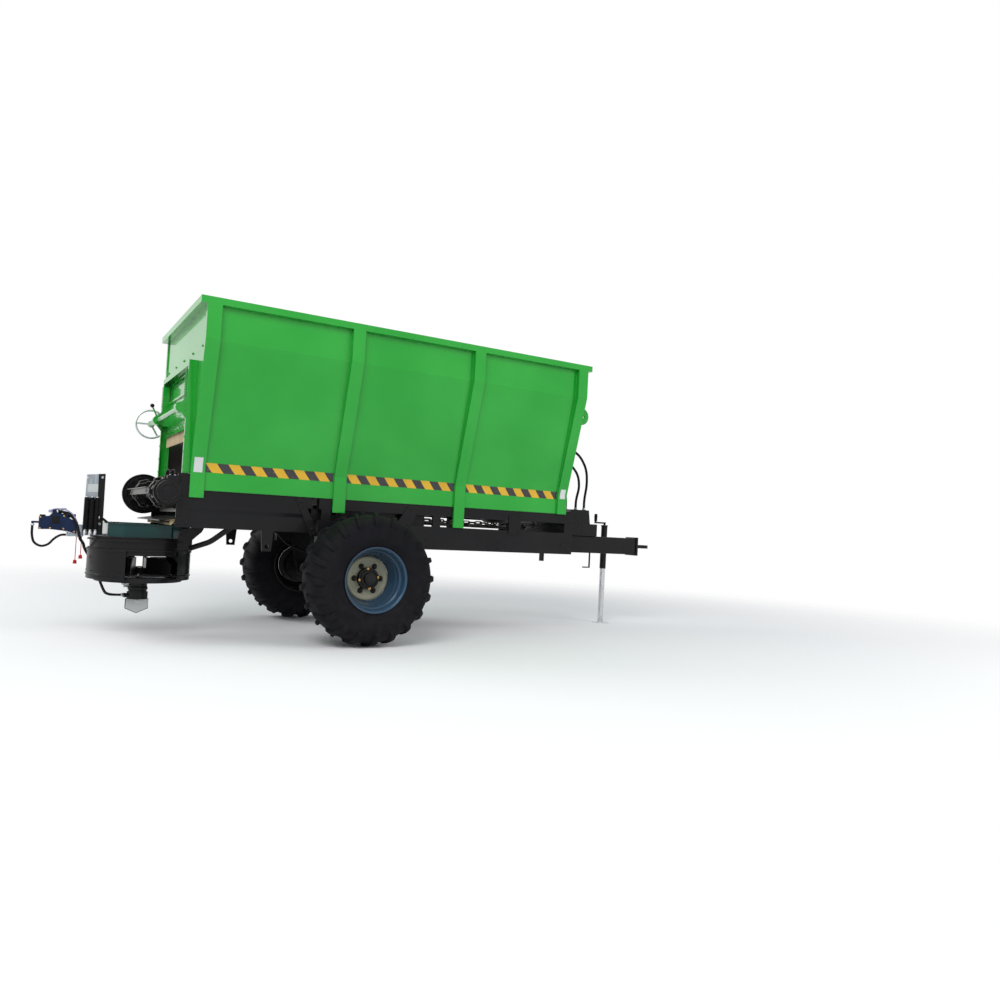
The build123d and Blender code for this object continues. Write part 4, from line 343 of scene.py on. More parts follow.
def disc_back_shade(tree):
    """Painted shade on a wheel disc's unseen inner side: 1 where the normal's y times the place's y is under
    0.1.
    """
    coordinates = add(tree, "ShaderNodeTexCoord").outputs
    normal = add(tree, "ShaderNodeSeparateXYZ", {0: coordinates["Normal"]}).outputs["Y"]
    place = add(tree, "ShaderNodeSeparateXYZ", {0: coordinates["Object"]}).outputs["Y"]
    outward = times(tree, normal, place)
    return add(tree, "ShaderNodeMath", {0: outward, 1: 0.1}, operation="LESS_THAN").outputs[0]


# The hopper's inner faces get painted shade through the inside mask.
paint_green = painted(
    "paint_green", (0.006, 0.31, 0.022), (0.016, 0.35, 0.032), (0.2, 0.3, 0.16), 0.18, 0.04,
    coat=0.8, base_sheen=0.06, inside=hopper_inside_shade,
)
paint_black = painted(
    "paint_black", (0.006, 0.006, 0.007), (0.009, 0.009, 0.010), (0.09, 0.08, 0.075), 0.4, 0.07, 0.34,
    coat=0.1, base_sheen=0.13,
)
paint_teal = painted(
    "paint_teal", (0.002, 0.042, 0.040), (0.003, 0.055, 0.052), (0.16, 0.2, 0.16), 0.4, 0.05, 0.16,
    coat=0.35, base_sheen=0.1,
)
paint_rim = painted(
    "paint_rim", (0.022, 0.07, 0.13), (0.022, 0.045, 0.075), (0.04, 0.04, 0.04), 0.4, 0.08, 0.26,
    coat=0.3, base_sheen=0.15,
)
# The wheel disc's inner side gets painted shade through the inside mask.
paint_disc = painted(
    "paint_disc", (0.30, 0.30, 0.22), (0.26, 0.26, 0.19), (0.12, 0.1, 0.08), 0.4, 0.3, 0.42, inside=disc_back_shade
)
paint_pale = painted("paint_pale", (0.62, 0.64, 0.63), (0.55, 0.57, 0.57), (0.2, 0.18, 0.15), 0.6, 0.3, 0.4)
print("paints made")

# %% [markdown]
# Bare and plated metal, rubber and plastic differ more in their gloss than in their colour. Rubber is dull
# with a grey bloom and earth in its pores. The floor plates are rubbed bright by the load that is dragged
# over them, so their scratches run along the machine. The chains and slats stay darker.

# %% Metals, rubber and plastics
def rubber(name, colour, bloom, amount, roughness=0.68, grain=160.0, depth=0.0006):
    """Dull rubber: a pale bloom in blotches over a dark ground, with a fine pitted grain."""
    material, tree = new_material(name)
    blotches = times(tree, ramp(tree, noise(tree, 9.0, 6.0), 0.38, 0.75), amount)
    tone = mix_colour(tree, blotches, (*colour, 1.0), (*bloom, 1.0))
    film = times(tree, group_value(tree, dust_group, Blotches=14.0, Low=0.8), 0.04)
    tone = mix_colour(tree, film, tone, DUST_COLOUR)
    rough = ramp(tree, blotches, 0.0, 1.0, roughness, min(1.0, roughness + 0.2))
    finish_shader(tree, tone, rough, noise(tree, grain, 4.0), depth, rounding=0.0, Specular_IOR_Level=0.13)
    return material


def bare_steel(name, bright, dull, roughness=0.32, stretch=(2.0, 90.0, 90.0), dirt=0.5):
    """Metal with long scratches along one axis and dirt that settles in blotches."""
    material, tree = new_material(name)
    place = add(tree, "ShaderNodeTexCoord").outputs["Object"]
    along = add(tree, "ShaderNodeMapping", {"Vector": place, "Scale": stretch}).outputs[0]
    scratch = noise(tree, 3.0, 5.0, along)
    tone = mix_colour(tree, ramp(tree, scratch, 0.3, 0.7), (*dull, 1.0), (*bright, 1.0))
    grime = times(tree, ramp(tree, noise(tree, 12.0, 6.0), 0.5, 0.75), dirt)
    tone = mix_colour(tree, grime, tone, GRIME_COLOUR)
    metal = ramp(tree, grime, 0.0, 1.0, 1.0, 0.2)
    rough = ramp(tree, either(tree, grime, scratch), 0.2, 1.0, roughness, roughness + 0.35)
    finish_shader(tree, tone, rough, scratch, 0.0002, Metallic=metal)
    return material


# The tyre's ground and bloom carry a blue tint, a painted reflection of bluish highlights; the bloom itself
# is real.
rubber_tyre = rubber("rubber_tyre", (0.003, 0.003, 0.005), (0.010, 0.010, 0.014), 0.4)
rubber_hose = rubber("rubber_hose", (0.006, 0.006, 0.008), (0.02, 0.02, 0.02), 0.3, 0.42, 300.0, 0.0001)
rubber_tan = rubber("rubber_tan", (0.50, 0.40, 0.24), (0.30, 0.23, 0.13), 0.6, 0.8, 90.0, 0.0005)
plastic_black = rubber(
    "plastic_black", (0.007, 0.007, 0.008), (0.018, 0.018, 0.02), 0.25, 0.35, 500.0, 0.0001
)
plastic_blue = rubber("plastic_blue", (0.006, 0.014, 0.045), (0.012, 0.03, 0.09), 0.5, 0.35, 400.0, 0.0001)
plastic_lilac = rubber("plastic_lilac", (0.42, 0.42, 0.62), (0.30, 0.28, 0.48), 0.5, 0.4, 400.0, 0.0001)
plastic_red = rubber("plastic_red", (0.50, 0.01, 0.02), (0.42, 0.03, 0.04), 0.4, 0.45, 300.0, 0.0001)
steel_worn = bare_steel("steel_worn", (0.46, 0.45, 0.40), (0.22, 0.21, 0.18), 0.36)
steel_chain = bare_steel("steel_chain", (0.16, 0.155, 0.15), (0.035, 0.034, 0.033), 0.26, dirt=0.6)
steel_grey = bare_steel("steel_grey", (0.42, 0.46, 0.50), (0.24, 0.27, 0.30), 0.26, (40.0, 40.0, 3.0), 0.25)
steel_zinc = bare_steel("steel_zinc", (0.72, 0.73, 0.75), (0.5, 0.51, 0.54), 0.3, (30.0, 30.0, 30.0), 0.2)
brass = bare_steel("brass", (0.78, 0.50, 0.18), (0.6, 0.34, 0.1), 0.3, (30.0, 30.0, 30.0), 0.25)
print("metals and rubbers made")

# %% [markdown]
# The solid model's own pieces keep their shapes. Each gets one of the finishes above in its material slots.

# %% Finishes of the solid pieces
FINISHES = {
    paint_green: "front_wall gate gate_frame gate_shaft gear_cases hopper_side_left hopper_side_right "
    "rear_wall",
    paint_black: "axle axle_brackets chassis_left chassis_right chute conveyor_motor conveyor_rollers "
    "crossmembers drawbar drawbar_box drive_disc drum_guards hitch_eye hub_left hub_right jack_tube "
    "spinner spinner_motor spreader_drum",
    paint_teal: "spreader_tray",
    paint_rim: "rim_left rim_right",
    paint_pale: "foot_plate",
    rubber_tyre: "tyre_left tyre_right",
    rubber_hose: "front_hoses rear_hoses",
    rubber_tan: "gate_flap scraper",
    plastic_black: "ribbed_block",
    plastic_blue: "valve_block",
    steel_worn: "conveyor hopper_floor",
    steel_grey: "upright_plate",
    plastic_red: "cap_tethers",
    steel_zinc: "handwheel jack_leg",
}
for material, names in FINISHES.items():
    for name in names.split():
        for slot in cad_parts[name].material_slots:
            slot.material = material
print("solid pieces finished", sum(len(names.split()) for names in FINISHES.values()))

# %% [markdown]
# Every new piece is a surface worked out with arrays. A shape here is a table of points with tables of
# faces, and a few makers cover the machine: a section carried along a path, a profile turned about an axis,
# a flat outline given a thickness, and copies of one shape set at many places.

# %% Shape makers
UP = np.array([0.0, 0.0, 1.0])


def grid(points, close_rows=False, close_cols=False):
    """Shape of quads between neighbouring points of a rows by columns grid; a closed way wraps round."""
    rows, cols = points.shape[:2]
    row_steps = rows if close_rows else rows - 1
    col_steps = cols if close_cols else cols - 1
    i, j = np.meshgrid(np.arange(row_steps), np.arange(col_steps), indexing="ij")
    below, beside = (i + 1) % rows, (j + 1) % cols
    quads = np.stack([i * cols + j, below * cols + j, below * cols + beside, i * cols + beside], -1)
    return points.reshape(-1, 3), [quads.reshape(-1, 4)]


def join(shapes):
    """One shape from several: points are stacked, and faces shifted by the points before them."""
    tables, faces, before = [], [], 0
    for points, groups in shapes:
        tables.append(points)
        faces += [group + before for group in groups]
        before += len(points)
    return np.concatenate(tables), faces


def unit(vectors):
    """Vectors divided by their own lengths."""
    vectors = np.asarray(vectors, float)
    return vectors / np.linalg.norm(vectors, axis=-1, keepdims=True)


def spread(shape, places, forward, upward=UP):
    """Copies of a shape at places: its x axis lies along forward and its z axis as near upward as it can."""
    places = np.atleast_2d(places)
    along = np.broadcast_to(unit(forward), places.shape)
    side = unit(np.cross(np.broadcast_to(upward, places.shape), along))
    axes = np.stack([along, side, np.cross(along, side)], 1)
    points, groups = shape
    moved = np.einsum("pk,nkc->npc", points, axes) + places[:, None, :]
    shift = np.arange(len(places)) * len(points)
    faces = [(group[None] + shift[:, None, None]).reshape(-1, group.shape[1]) for group in groups]
    return moved.reshape(-1, 3), faces


def prism(outline, depth, start=0.0):
    """A flat outline in x and z given a thickness along y: two copies of it joined by a band of quads."""
    outline = np.asarray(outline, float)
    count = len(outline)
    ends = [np.stack([outline[:, 0], np.full(count, y), outline[:, 1]], 1) for y in (start, start + depth)]
    points, band = grid(np.stack(ends), close_cols=True)
    caps = [np.arange(count)[None], np.arange(count)[None] + count]
    return points, band + caps


def block(low, high):
    """A box between two corners."""
    (x0, y0, z0), (x1, y1, z1) = low, high
    return prism([(x0, z0), (x1, z0), (x1, z1), (x0, z1)], y1 - y0, y0)


def turned(profile, segments=48, closed=False):
    """A profile of (radius, height) turned round the z axis: x = r cos a, y = r sin a, z = height."""
    profile = np.asarray(profile, float)
    angle = np.linspace(0, 2 * math.pi, segments, endpoint=False)[None, :]
    radius, height = profile[:, 0:1], profile[:, 1:2]
    points = np.stack([radius * np.cos(angle), radius * np.sin(angle), height + 0 * angle], -1)
    return grid(points, close_rows=closed, close_cols=True)


def soften(profile, passes=2, closed=False):
    """Corner cutting: each pass swaps a corner for two points a quarter of the way along its two sides."""
    profile = np.asarray(profile, float)
    for _ in range(passes):
        after = np.roll(profile, -1, 0) if closed else profile[1:]
        first = profile if closed else profile[:-1]
        cut = np.stack([0.75 * first + 0.25 * after, 0.25 * first + 0.75 * after], 1)
        cut = cut.reshape(-1, profile.shape[1])
        profile = cut if closed else np.concatenate([profile[:1], cut, profile[-1:]])
    return profile


def rounded(outline, radius, closed=True, steps=4):
    """Each corner p between a and b becomes a short parabola (1-s)^2 a + 2s(1-s) p + s^2 b, where a and b lie
    on its two sides at the radius, or at 0.4 of a side that is shorter."""
    outline = np.asarray(outline, float)
    before, after = np.roll(outline, 1, 0) - outline, np.roll(outline, -1, 0) - outline
    reach = [np.minimum(radius, 0.4 * np.linalg.norm(way, axis=1, keepdims=True)) for way in (before, after)]
    start, end = outline + unit(before) * reach[0], outline + unit(after) * reach[1]
    s = np.linspace(0, 1, steps)[None, :, None]
    curves = (1 - s) ** 2 * start[:, None] + 2 * s * (1 - s) * outline[:, None] + s**2 * end[:, None]
    if not closed:
        curves[0], curves[-1] = outline[0], outline[-1]
    return curves.reshape(-1, outline.shape[1])


def axes_along(path, side=(0.0, 1.0, 0.0)):
    """Unit tangents of a path and two vectors across it, carried on with the least twist."""
    tangents = unit(np.gradient(path, axis=0))
    across = np.empty_like(path)
    current = np.cross(side, tangents[0])
    if np.linalg.norm(current) < 0.1:
        current = np.cross(UP, tangents[0])
    for row, tangent in enumerate(tangents):
        current = unit(current - tangent * current.dot(tangent))
        across[row] = current
    return tangents, across, np.cross(tangents, across)


def tube(path, radius, sides=10, side=(0.0, 1.0, 0.0)):
    """A ring carried along a path: point = path + r (cos a across + sin a beside); both ends are capped."""
    path = np.asarray(path, float)
    radius = np.broadcast_to(np.asarray(radius, float), (len(path),))
    _, across, beside = axes_along(path, side)
    angle = np.linspace(0, 2 * math.pi, sides, endpoint=False)
    ring = np.cos(angle)[None, :, None] * across[:, None] + np.sin(angle)[None, :, None] * beside[:, None]
    points, faces = grid(path[:, None] + radius[:, None, None] * ring, close_cols=True)
    last = (len(path) - 1) * sides
    return points, faces + [np.arange(sides)[None], np.arange(sides)[None] + last]


def piece(name, shape, body, material, slot, bevel=0.0, smooth=40.0, outward=True):
    """A mesh object from a shape: doubles merged, faces turned outwards, an optional small edge rounding."""
    points, groups = shape
    mesh = bpy.data.meshes.new(name)
    corners = np.concatenate([group.ravel() for group in groups])
    counts = np.concatenate([np.full(len(group), group.shape[1]) for group in groups])
    mesh.vertices.add(len(points))
    mesh.vertices.foreach_set("co", np.ascontiguousarray(points, np.float32).ravel())
    mesh.loops.add(len(corners))
    mesh.loops.foreach_set("vertex_index", corners.astype(np.int32))
    mesh.polygons.add(len(counts))
    mesh.polygons.foreach_set("loop_start", (np.cumsum(counts) - counts).astype(np.int32))
    mesh.update(calc_edges=True)
    work = bmesh.new()
    work.from_mesh(mesh)
    bmesh.ops.remove_doubles(work, verts=work.verts, dist=1e-6)
    bmesh.ops.dissolve_degenerate(work, edges=work.edges, dist=1e-7)
    if outward:
        bmesh.ops.recalc_face_normals(work, faces=work.faces)
    work.to_mesh(mesh)
    work.free()
    mesh.polygons.foreach_set("use_smooth", np.ones(len(mesh.polygons), bool))
    mesh.set_sharp_from_angle(angle=math.radians(smooth))
    mesh.materials.append(material)
    made = bpy.data.objects.new(name, mesh)
    bpy.context.collection.objects.link(made)
    if bevel:
        rounding = made.modifiers.new("rounding", "BEVEL")
        rounding.width = bevel
        rounding.segments = 2
        rounding.limit_method = "ANGLE"
        rounding.harden_normals = False
    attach(made, body)
    print(name, len(mesh.polygons), "faces")
    return made


def mirrored(shape):
    """The same shape on the other side of the machine: y changes its sign, and the faces their turn."""
    points, groups = shape
    return points * np.array([1.0, -1.0, 1.0]), [group[:, ::-1] for group in groups]


def both_sides(name, shape, body, material, slot, **settings):
    """A piece on the right and its mirror image on the left; a wheel's body is named by its side."""
    for side, made in (("right", shape), ("left", mirrored(shape))):
        piece(f"{name}_{side}", made, body.format(side), material, slot, **settings)


print("makers ready")

# %% [markdown]
# The wheels come first, because they say most about the machine. A tyre of this kind has a rounded section
# and heavy curved bars that start near the middle of the tread and sweep back over the shoulder. The carcass
# is one profile turned about the axle. Each bar is a patch laid on that profile: it follows a curved middle
# line, it has a height that rises quickly at its edges, and it ends low on the shoulder.

# %% Wheel places
axle_low, axle_high = (np.array(corner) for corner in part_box("tyre_right"))
AXLE_X = (axle_low[0] + axle_high[0]) / 2
AXLE_Z = (axle_low[2] + axle_high[2]) / 2
TYRE_R = (axle_high[2] - axle_low[2]) / 2
TYRE_HALF = (axle_high[1] - axle_low[1]) / 2
WHEEL_Y = -(axle_low[1] + axle_high[1]) / 2
WHEEL_CENTRE = np.array([AXLE_X, -WHEEL_Y, AXLE_Z])
print("tyre", round(TYRE_R, 4), round(TYRE_HALF, 4), "wheel centre", WHEEL_CENTRE.round(4))


def on_wheel(shape):
    """A shape made round the z axis at the origin, set on the right wheel with z pointing outwards."""
    points, groups = shape
    return np.stack([points[:, 0], -points[:, 2], points[:, 1]], 1) + WHEEL_CENTRE, groups


# %% [markdown]
# The carcass profile is written as distance from the middle of the tread and radius, then its corners are
# cut twice. Fine ribs run round the side wall, where a real tyre carries its raised lines.

# %% Tyres
LUG_HEIGHT = 0.024
LUG_COUNT = 20
BEAD_R = 0.2275
CARCASS = [
    # across from the tread's middle, radius
    (0.0, TYRE_R - LUG_HEIGHT),
    (0.070, TYRE_R - LUG_HEIGHT - 0.003),
    (0.125, TYRE_R - LUG_HEIGHT - 0.012),
    (0.168, TYRE_R - LUG_HEIGHT - 0.038),
    (0.190, TYRE_R - LUG_HEIGHT - 0.080),
    (TYRE_HALF - 0.001, 0.345),
    (0.190, 0.300),
    (0.178, 0.272),
    (0.166, 0.250),
    (0.155, BEAD_R),
]
half = soften(CARCASS, 3)
wall_ribs = 0.0016 * np.clip(np.cos((half[:, 1] - 0.285) * 2 * math.pi / 0.012), 0, 1)
wall_ribs *= (half[:, 1] > 0.275) & (half[:, 1] < 0.315)
half[:, 0] += wall_ribs
section = np.concatenate([half[::-1] * (-1, 1), half[1:], [(0.12, BEAD_R + 0.012), (-0.12, BEAD_R + 0.012)]])
carcass = turned(section[::-1, ::-1], 120, closed=True)


def carcass_at(distance):
    """Across, radius and outward direction of the carcass at a length along its profile from the middle."""
    steps = np.linalg.norm(np.diff(half, axis=0), axis=1)
    lengths = np.concatenate([[0.0], np.cumsum(steps)])
    across = np.interp(distance, lengths, half[:, 0])
    radius = np.interp(distance, lengths, half[:, 1])
    ahead_across = np.interp(distance + 0.004, lengths, half[:, 0]) - across
    ahead_radius = np.interp(distance + 0.004, lengths, half[:, 1]) - radius
    return across, radius, unit(np.stack([-ahead_radius, ahead_across], -1))


def lug_patch(turn, side, reach=0.232):
    """One bar: u runs from the tread's middle to the shoulder, v across the bar. Its middle line bends back
    by a power of u, its width grows with u, and its height is a flat-topped bump in v that ends soft in u."""
    u = np.linspace(0.0, 1.0, 15)[:, None]
    v = np.linspace(-1.0, 1.0, 11)[None, :]
    distance = 0.010 + (reach - 0.010) * u
    across, radius, outward = carcass_at(distance)
    middle = 0.030 - 0.062 * (1.0 - u) ** 1.6 - 0.020 * np.clip(u - 0.72, 0, 1)
    half_width = 0.017 + 0.016 * u**1.2
    angle = turn + (middle + half_width * v) / TYRE_R
    flank = np.clip((1.0 - np.abs(v)) / 0.30, 0, 1)
    ends = np.clip(u / 0.10, 0, 1) * np.clip((1.0 - u) / 0.10, 0, 1)
    height = (LUG_HEIGHT + 0.004) * (flank * ends) ** 0.7 - 0.004
    crown = np.clip((TYRE_R - radius) / LUG_HEIGHT, 0, 1)
    lifted_radius = radius + height * outward[..., 1]
    lifted_across = across + np.minimum(height, 0.015) * outward[..., 0]
    lifted_radius = np.minimum(lifted_radius, TYRE_R - 0.0008 * (1 - crown))
    lifted_across = np.minimum(lifted_across, TYRE_HALF + 0.001)
    shape = (lifted_radius * np.cos(angle), lifted_radius * np.sin(angle), side * (lifted_across + 0 * angle))
    points, groups = grid(np.stack(shape, -1))
    return points, [group[:, ::-side] for group in groups]


lugs = []
for side, shift in ((1, 0.0), (-1, 0.5)):
    for number in range(LUG_COUNT):
        lugs.append(lug_patch((number + shift) * 2 * math.pi / LUG_COUNT, side))
tyre_shape = on_wheel(join([carcass, *lugs]))
for side, shape in (("right", tyre_shape), ("left", mirrored(tyre_shape))):
    made = piece(
        f"lugged_tyre_{side}", shape, f"wheel_{side}", rubber_tyre, "tyre_rubber", smooth=50.0, outward=False
    )
    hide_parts(f"tyre_{side}")

# %% [markdown]
# A rim is rolled from one strip, so its section is a thin line of even thickness: lip, bead seat, a step down
# on each side of the well, and the seat of the welded disc. The visible side is written as inward distance
# from the tyre's face and radius, and the back is the same line moved by the sheet's thickness.

# %% Rims and wheel discs
RIM_SHEET = 0.007
RIM_LINE = [
    # inward from the tyre's outer face, radius
    (0.0225, 0.2420),
    (0.0235, 0.2330),
    (0.0300, 0.2240),
    (0.0760, 0.2200),
    (0.0850, 0.2120),
    (0.0880, 0.2035),
    (0.1200, 0.2000),
    (0.1280, 0.1920),
    (0.1500, 0.1860),
    (0.1900, 0.1740),
    (0.2090, 0.1650),
]
DISC_FACE = 0.208
DISC_SHEET = 0.0135
DISC_HOLE = 0.0806
STUD_CIRCLE = 0.1025
visible = rounded([(radius, TYRE_HALF - inward) for inward, radius in RIM_LINE], 0.006, closed=False, steps=5)
hidden = visible + (RIM_SHEET, 0.0)
hidden[:6] = visible[:6] + (0.0, -0.007)
rim_shape = on_wheel(turned(np.concatenate([visible, hidden[::-1]]), 96, closed=True))
BACK_LINE = [
    # radius, height from the tyre's middle
    (0.1650, -0.0125), (0.1950, -0.045), (0.2200, -0.080),
    (0.2245, -0.160), (0.2340, -0.1715), (0.2420, -0.1720),
]
inner = rounded(BACK_LINE, 0.008, closed=False, steps=5)
back = on_wheel(turned(np.concatenate([inner, (inner + (0.006, 0.004))[::-1]]), 96, closed=True))

disc_front = TYRE_HALF - DISC_FACE
disc_line = [
    (DISC_HOLE, disc_front - DISC_SHEET),
    (DISC_HOLE, disc_front),
    (0.1290, disc_front),
    (0.1380, disc_front + 0.006),
    (0.1560, disc_front + 0.006),
    (0.1655, disc_front - 0.002),
    (0.1655, disc_front - DISC_SHEET),
]
disc_shape = on_wheel(turned(rounded(disc_line, 0.004), 96, closed=True))
for side in ("right", "left"):
    turn_over = mirrored if side == "left" else (lambda shape: shape)
    rim = piece(f"rolled_rim_{side}", turn_over(rim_shape), f"wheel_{side}", paint_rim, "rim_paint")
    # The rim's back is black paint: painted shade on the wheel's inner side, which is blue rim paint.
    piece(f"shaded_rim_back_{side}", turn_over(back), f"wheel_{side}", paint_black, "rim_paint")
    piece(f"wheel_disc_{side}", turn_over(disc_shape), f"wheel_{side}", paint_disc, "rim_paint")
    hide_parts(f"rim_{side}")

# %% [markdown]
# Small turned and pressed things, such as bolts, washers and caps, are needed by the hundred. One hexagon
# head with its washer is made once round the z axis, and copies of it are set where the bolts are.

# %% Bolts
def bolt(size):
    """Hexagon head on a washer: the head is a six-sided turned profile with a chamfered top."""
    line = [(0, 0.62), (0.46, 0.62), (0.58, 0.52), (0.58, 0.0), (0, 0.0)]
    head = turned(rounded(line, 0.05, closed=False, steps=2), 6)
    washer = turned([(0, 0.12), (0.98, 0.12), (1.02, 0.08), (1.02, -0.1), (0, -0.1)], 16)
    points, groups = join([(head[0] + (0, 0, 0.1), head[1]), washer])
    return points * size, groups


def facing_out(shape, places, facing):
    """Copies of a shape made round the z axis: that axis points along facing, away from what it sits on."""
    points, groups = shape
    lying = np.stack([points[:, 2], points[:, 0], points[:, 1]], 1)
    guide = (0.0, 1.0, 0.0) if abs(unit(np.atleast_2d(facing))[0, 2]) > 0.9 else UP
    return spread((lying, groups), np.asarray(places, float), np.asarray(facing, float), guide)


def bolts(size, places, facing):
    """Copies of one bolt, with their heads towards facing."""
    return facing_out(bolt(size), places, facing)


def ring_of(count, radius, height, start=0.0):
    """Points spaced evenly round the z axis."""
    angle = math.radians(start) + np.arange(count) * 2 * math.pi / count
    return np.stack([radius * np.cos(angle), radius * np.sin(angle), 0 * angle + height], 1)


HUB_FACE = TYRE_HALF - 0.1743
CAP_FACE = TYRE_HALF - 0.1283
CAP_LINE = [(0.066, 0.0), (0.066, 0.007), (0.050, 0.012), (0.046, 0.012), (0.046, 0.0)]
SEAT_LINE = [(0.009, 0.004), (0.017, 0.004), (0.0215, 0.0005), (0.0215, -0.001), (0.009, -0.001)]
STUD_LINE = [(0, 0.008), (0.005, 0.008), (0.0065, 0.006), (0.0065, 0), (0, 0)]
cap_ring = turned(rounded(CAP_LINE, 0.003), 40, True)
cap_top = turned([(0.0, 0.010), (0.020, 0.009), (0.034, 0.004), (0.037, -0.004), (0.0, -0.004)], 40)
hub_dress = [(cap_ring[0] + (0, 0, HUB_FACE), cap_ring[1]), (cap_top[0] + (0, 0, CAP_FACE), cap_top[1])]
stud_seats = spread(turned(SEAT_LINE, 20, True), ring_of(6, STUD_CIRCLE, disc_front), (1, 0, 0))
brass_bolts = bolts(0.0095, ring_of(4, 0.0725, HUB_FACE, 8), (0, 0, 1))
stud_ends = spread(turned(STUD_LINE, 12), ring_of(6, STUD_CIRCLE, disc_front + 0.0245), (1, 0, 0))
for name, shape, material in (
    ("hub_cap_rings", join(hub_dress + [stud_seats]), paint_black),
    ("hub_brass_bolts", brass_bolts, brass),
    ("wheel_stud_ends", stud_ends, paint_black),
):
    both_sides(name, on_wheel(shape), "wheel_{}", material, "hub_black")

# %% [markdown]
# The hopper is dressed next: reflective warning tape along the lower crease of each side, weld beads where
# posts meet the skin, the bolts of the rear wall, and the blank plates on the end posts. All of them lie on
# the skin, whose half width is a broken line of the height.

# %% Hopper lines
SKIN = [(1.073, 0.579), (1.246, 0.579), (2.103, 0.795), (2.342, 0.795)]
POST_FACE = [(1.023, 0.599), (1.246, 0.599), (2.103, 0.835), (2.342, 0.835)]
hopper_low, hopper_high = (np.array(corner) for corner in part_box("hopper_side_right"))
RIM_OVERHANG = 0.043
POST_COUNT = 4
BAYS = POST_COUNT - 1
POST_WIDTH = 0.097
POST_START = hopper_low[0] + RIM_OVERHANG
POST_PITCH = (hopper_high[0] - hopper_low[0] - 2 * RIM_OVERHANG - POST_WIDTH) / BAYS


def half_width(line, heights):
    """Half width of the hopper at some heights, on the skin's or the posts' broken line."""
    return np.interp(heights, [z for z, _ in line], [y for _, y in line])


def strip(x0, x1, heights, line, thickness, lift=0.0004):
    """A thin strip on the right-hand side from x0 to x1 that follows the line over its heights."""
    heights = np.asarray(heights, float)
    y = -half_width(line, heights) - lift
    outer = np.stack([y - thickness, heights], 1)
    outline = np.concatenate([outer, np.stack([y, heights], 1)[::-1]])
    points, groups = prism(outline[:, [0, 1]], x1 - x0, x0)
    return points[:, [1, 0, 2]], groups


TAPE_HEIGHTS = (1.205, 1.2465, 1.272)
tape = []
for bay in range(BAYS):
    start = POST_START + POST_WIDTH + bay * POST_PITCH
    end = start + POST_PITCH - POST_WIDTH
    tape.append(strip(start + 0.002, end - 0.002, TAPE_HEIGHTS, SKIN, 0.0006))

# %% [markdown]
# The tape's stripes slant by fifty millimetres over its height and repeat six times in each bay. Their place
# is counted from the bay's first post, so the pattern starts afresh behind every post, as cut tape does.

# %% Warning tape
TAPE_PITCH = (POST_PITCH - POST_WIDTH) / 6
TAPE_SLANT = 0.75
material, tree = new_material("warning_tape")
where = add(tree, "ShaderNodeSeparateXYZ", {0: add(tree, "ShaderNodeTexCoord").outputs["Object"]}).outputs
bay_start = POST_START + POST_WIDTH
bay_limits = {0: where["X"], 1: bay_start + POST_PITCH, 2: bay_start}
in_bay = add(tree, "ShaderNodeMath", bay_limits, operation="WRAP")
lean = {0: where["Z"], 1: TAPE_SLANT, 2: in_bay.outputs[0]}
leaned = add(tree, "ShaderNodeMath", lean, operation="MULTIPLY_ADD")
offset = POST_START + POST_WIDTH + TAPE_SLANT * TAPE_HEIGHTS[-1]
counted = add(tree, "ShaderNodeMath", {0: leaned.outputs[0], 1: offset}, operation="SUBTRACT")
cycle = add(tree, "ShaderNodeMath", {0: counted.outputs[0], 1: TAPE_PITCH}, operation="DIVIDE")
part = add(tree, "ShaderNodeMath", {0: cycle.outputs[0]}, operation="FRACT")
black = ramp(tree, part.outputs[0], 0.498, 0.506)
blotches = ramp(tree, noise(tree, 7.0, 3.0), 0.35, 0.65)
yellow = mix_colour(tree, blotches, (0.62, 0.35, 0.006, 1.0), (0.68, 0.40, 0.012, 1.0))
tone = mix_colour(tree, black, yellow, (0.016, 0.015, 0.016, 1.0))
scuff = ramp(tree, noise(tree, 60.0, 6.0), 0.62, 0.72)
tone = mix_colour(tree, times(tree, scuff, 0.3), tone, DUST_COLOUR)
cells = add(tree, "ShaderNodeTexVoronoi", {"Scale": 320.0}).outputs["Distance"]
rough = ramp(tree, cells, 0.0, 1.0, 0.28, 0.45)
finish_shader(tree, tone, rough, cells, 0.0002, rounding=0.0, Coat_Weight=0.3)
warning_tape = material
both_sides("warning_tape", join(tape), "frame", warning_tape, "pale_plate")

# %% Welds, bolts and blank plates of the hopper
BEAD = 0.0045


def even_steps(path, step, least=4):
    """The same line as points that lie evenly along it, at least that many."""
    marks = np.concatenate([[0.0], np.cumsum(np.linalg.norm(np.diff(path, axis=0), axis=1))])
    place = np.linspace(0, marks[-1], max(least, int(marks[-1] / step)))
    return np.stack([np.interp(place, marks, path[:, axis]) for axis in range(3)], 1)


def bead(path, radius=BEAD):
    """A weld bead: a thin tube whose radius swells and shrinks a little along its way."""
    even = even_steps(np.asarray(path, float), 0.02, 3)
    return tube(even, radius * (1 + 0.12 * np.sin(np.arange(len(even)) * 1.9)), 6)


beads = []
kink_heights = np.array([1.09, 1.246, 2.103, 2.335])
for number in range(POST_COUNT):
    for edge in (0.0, POST_WIDTH):
        x = POST_START + number * POST_PITCH + edge
        if x - POST_START < 0.01 or hopper_high[0] - RIM_OVERHANG - x < 0.01:
            continue
        y = -half_width(SKIN, kink_heights)
        beads.append(bead(np.stack([0 * y + x, y, kink_heights], 1)))
for bay in range(BAYS):
    start = POST_START + POST_WIDTH + bay * POST_PITCH
    ends = np.array([start, start + POST_PITCH - POST_WIDTH])
    beads.append(bead(np.stack([ends, 0 * ends - 0.795, 0 * ends + 2.341], 1)))
both_sides("hopper_welds", join(beads), "frame", paint_green, "green_paint")

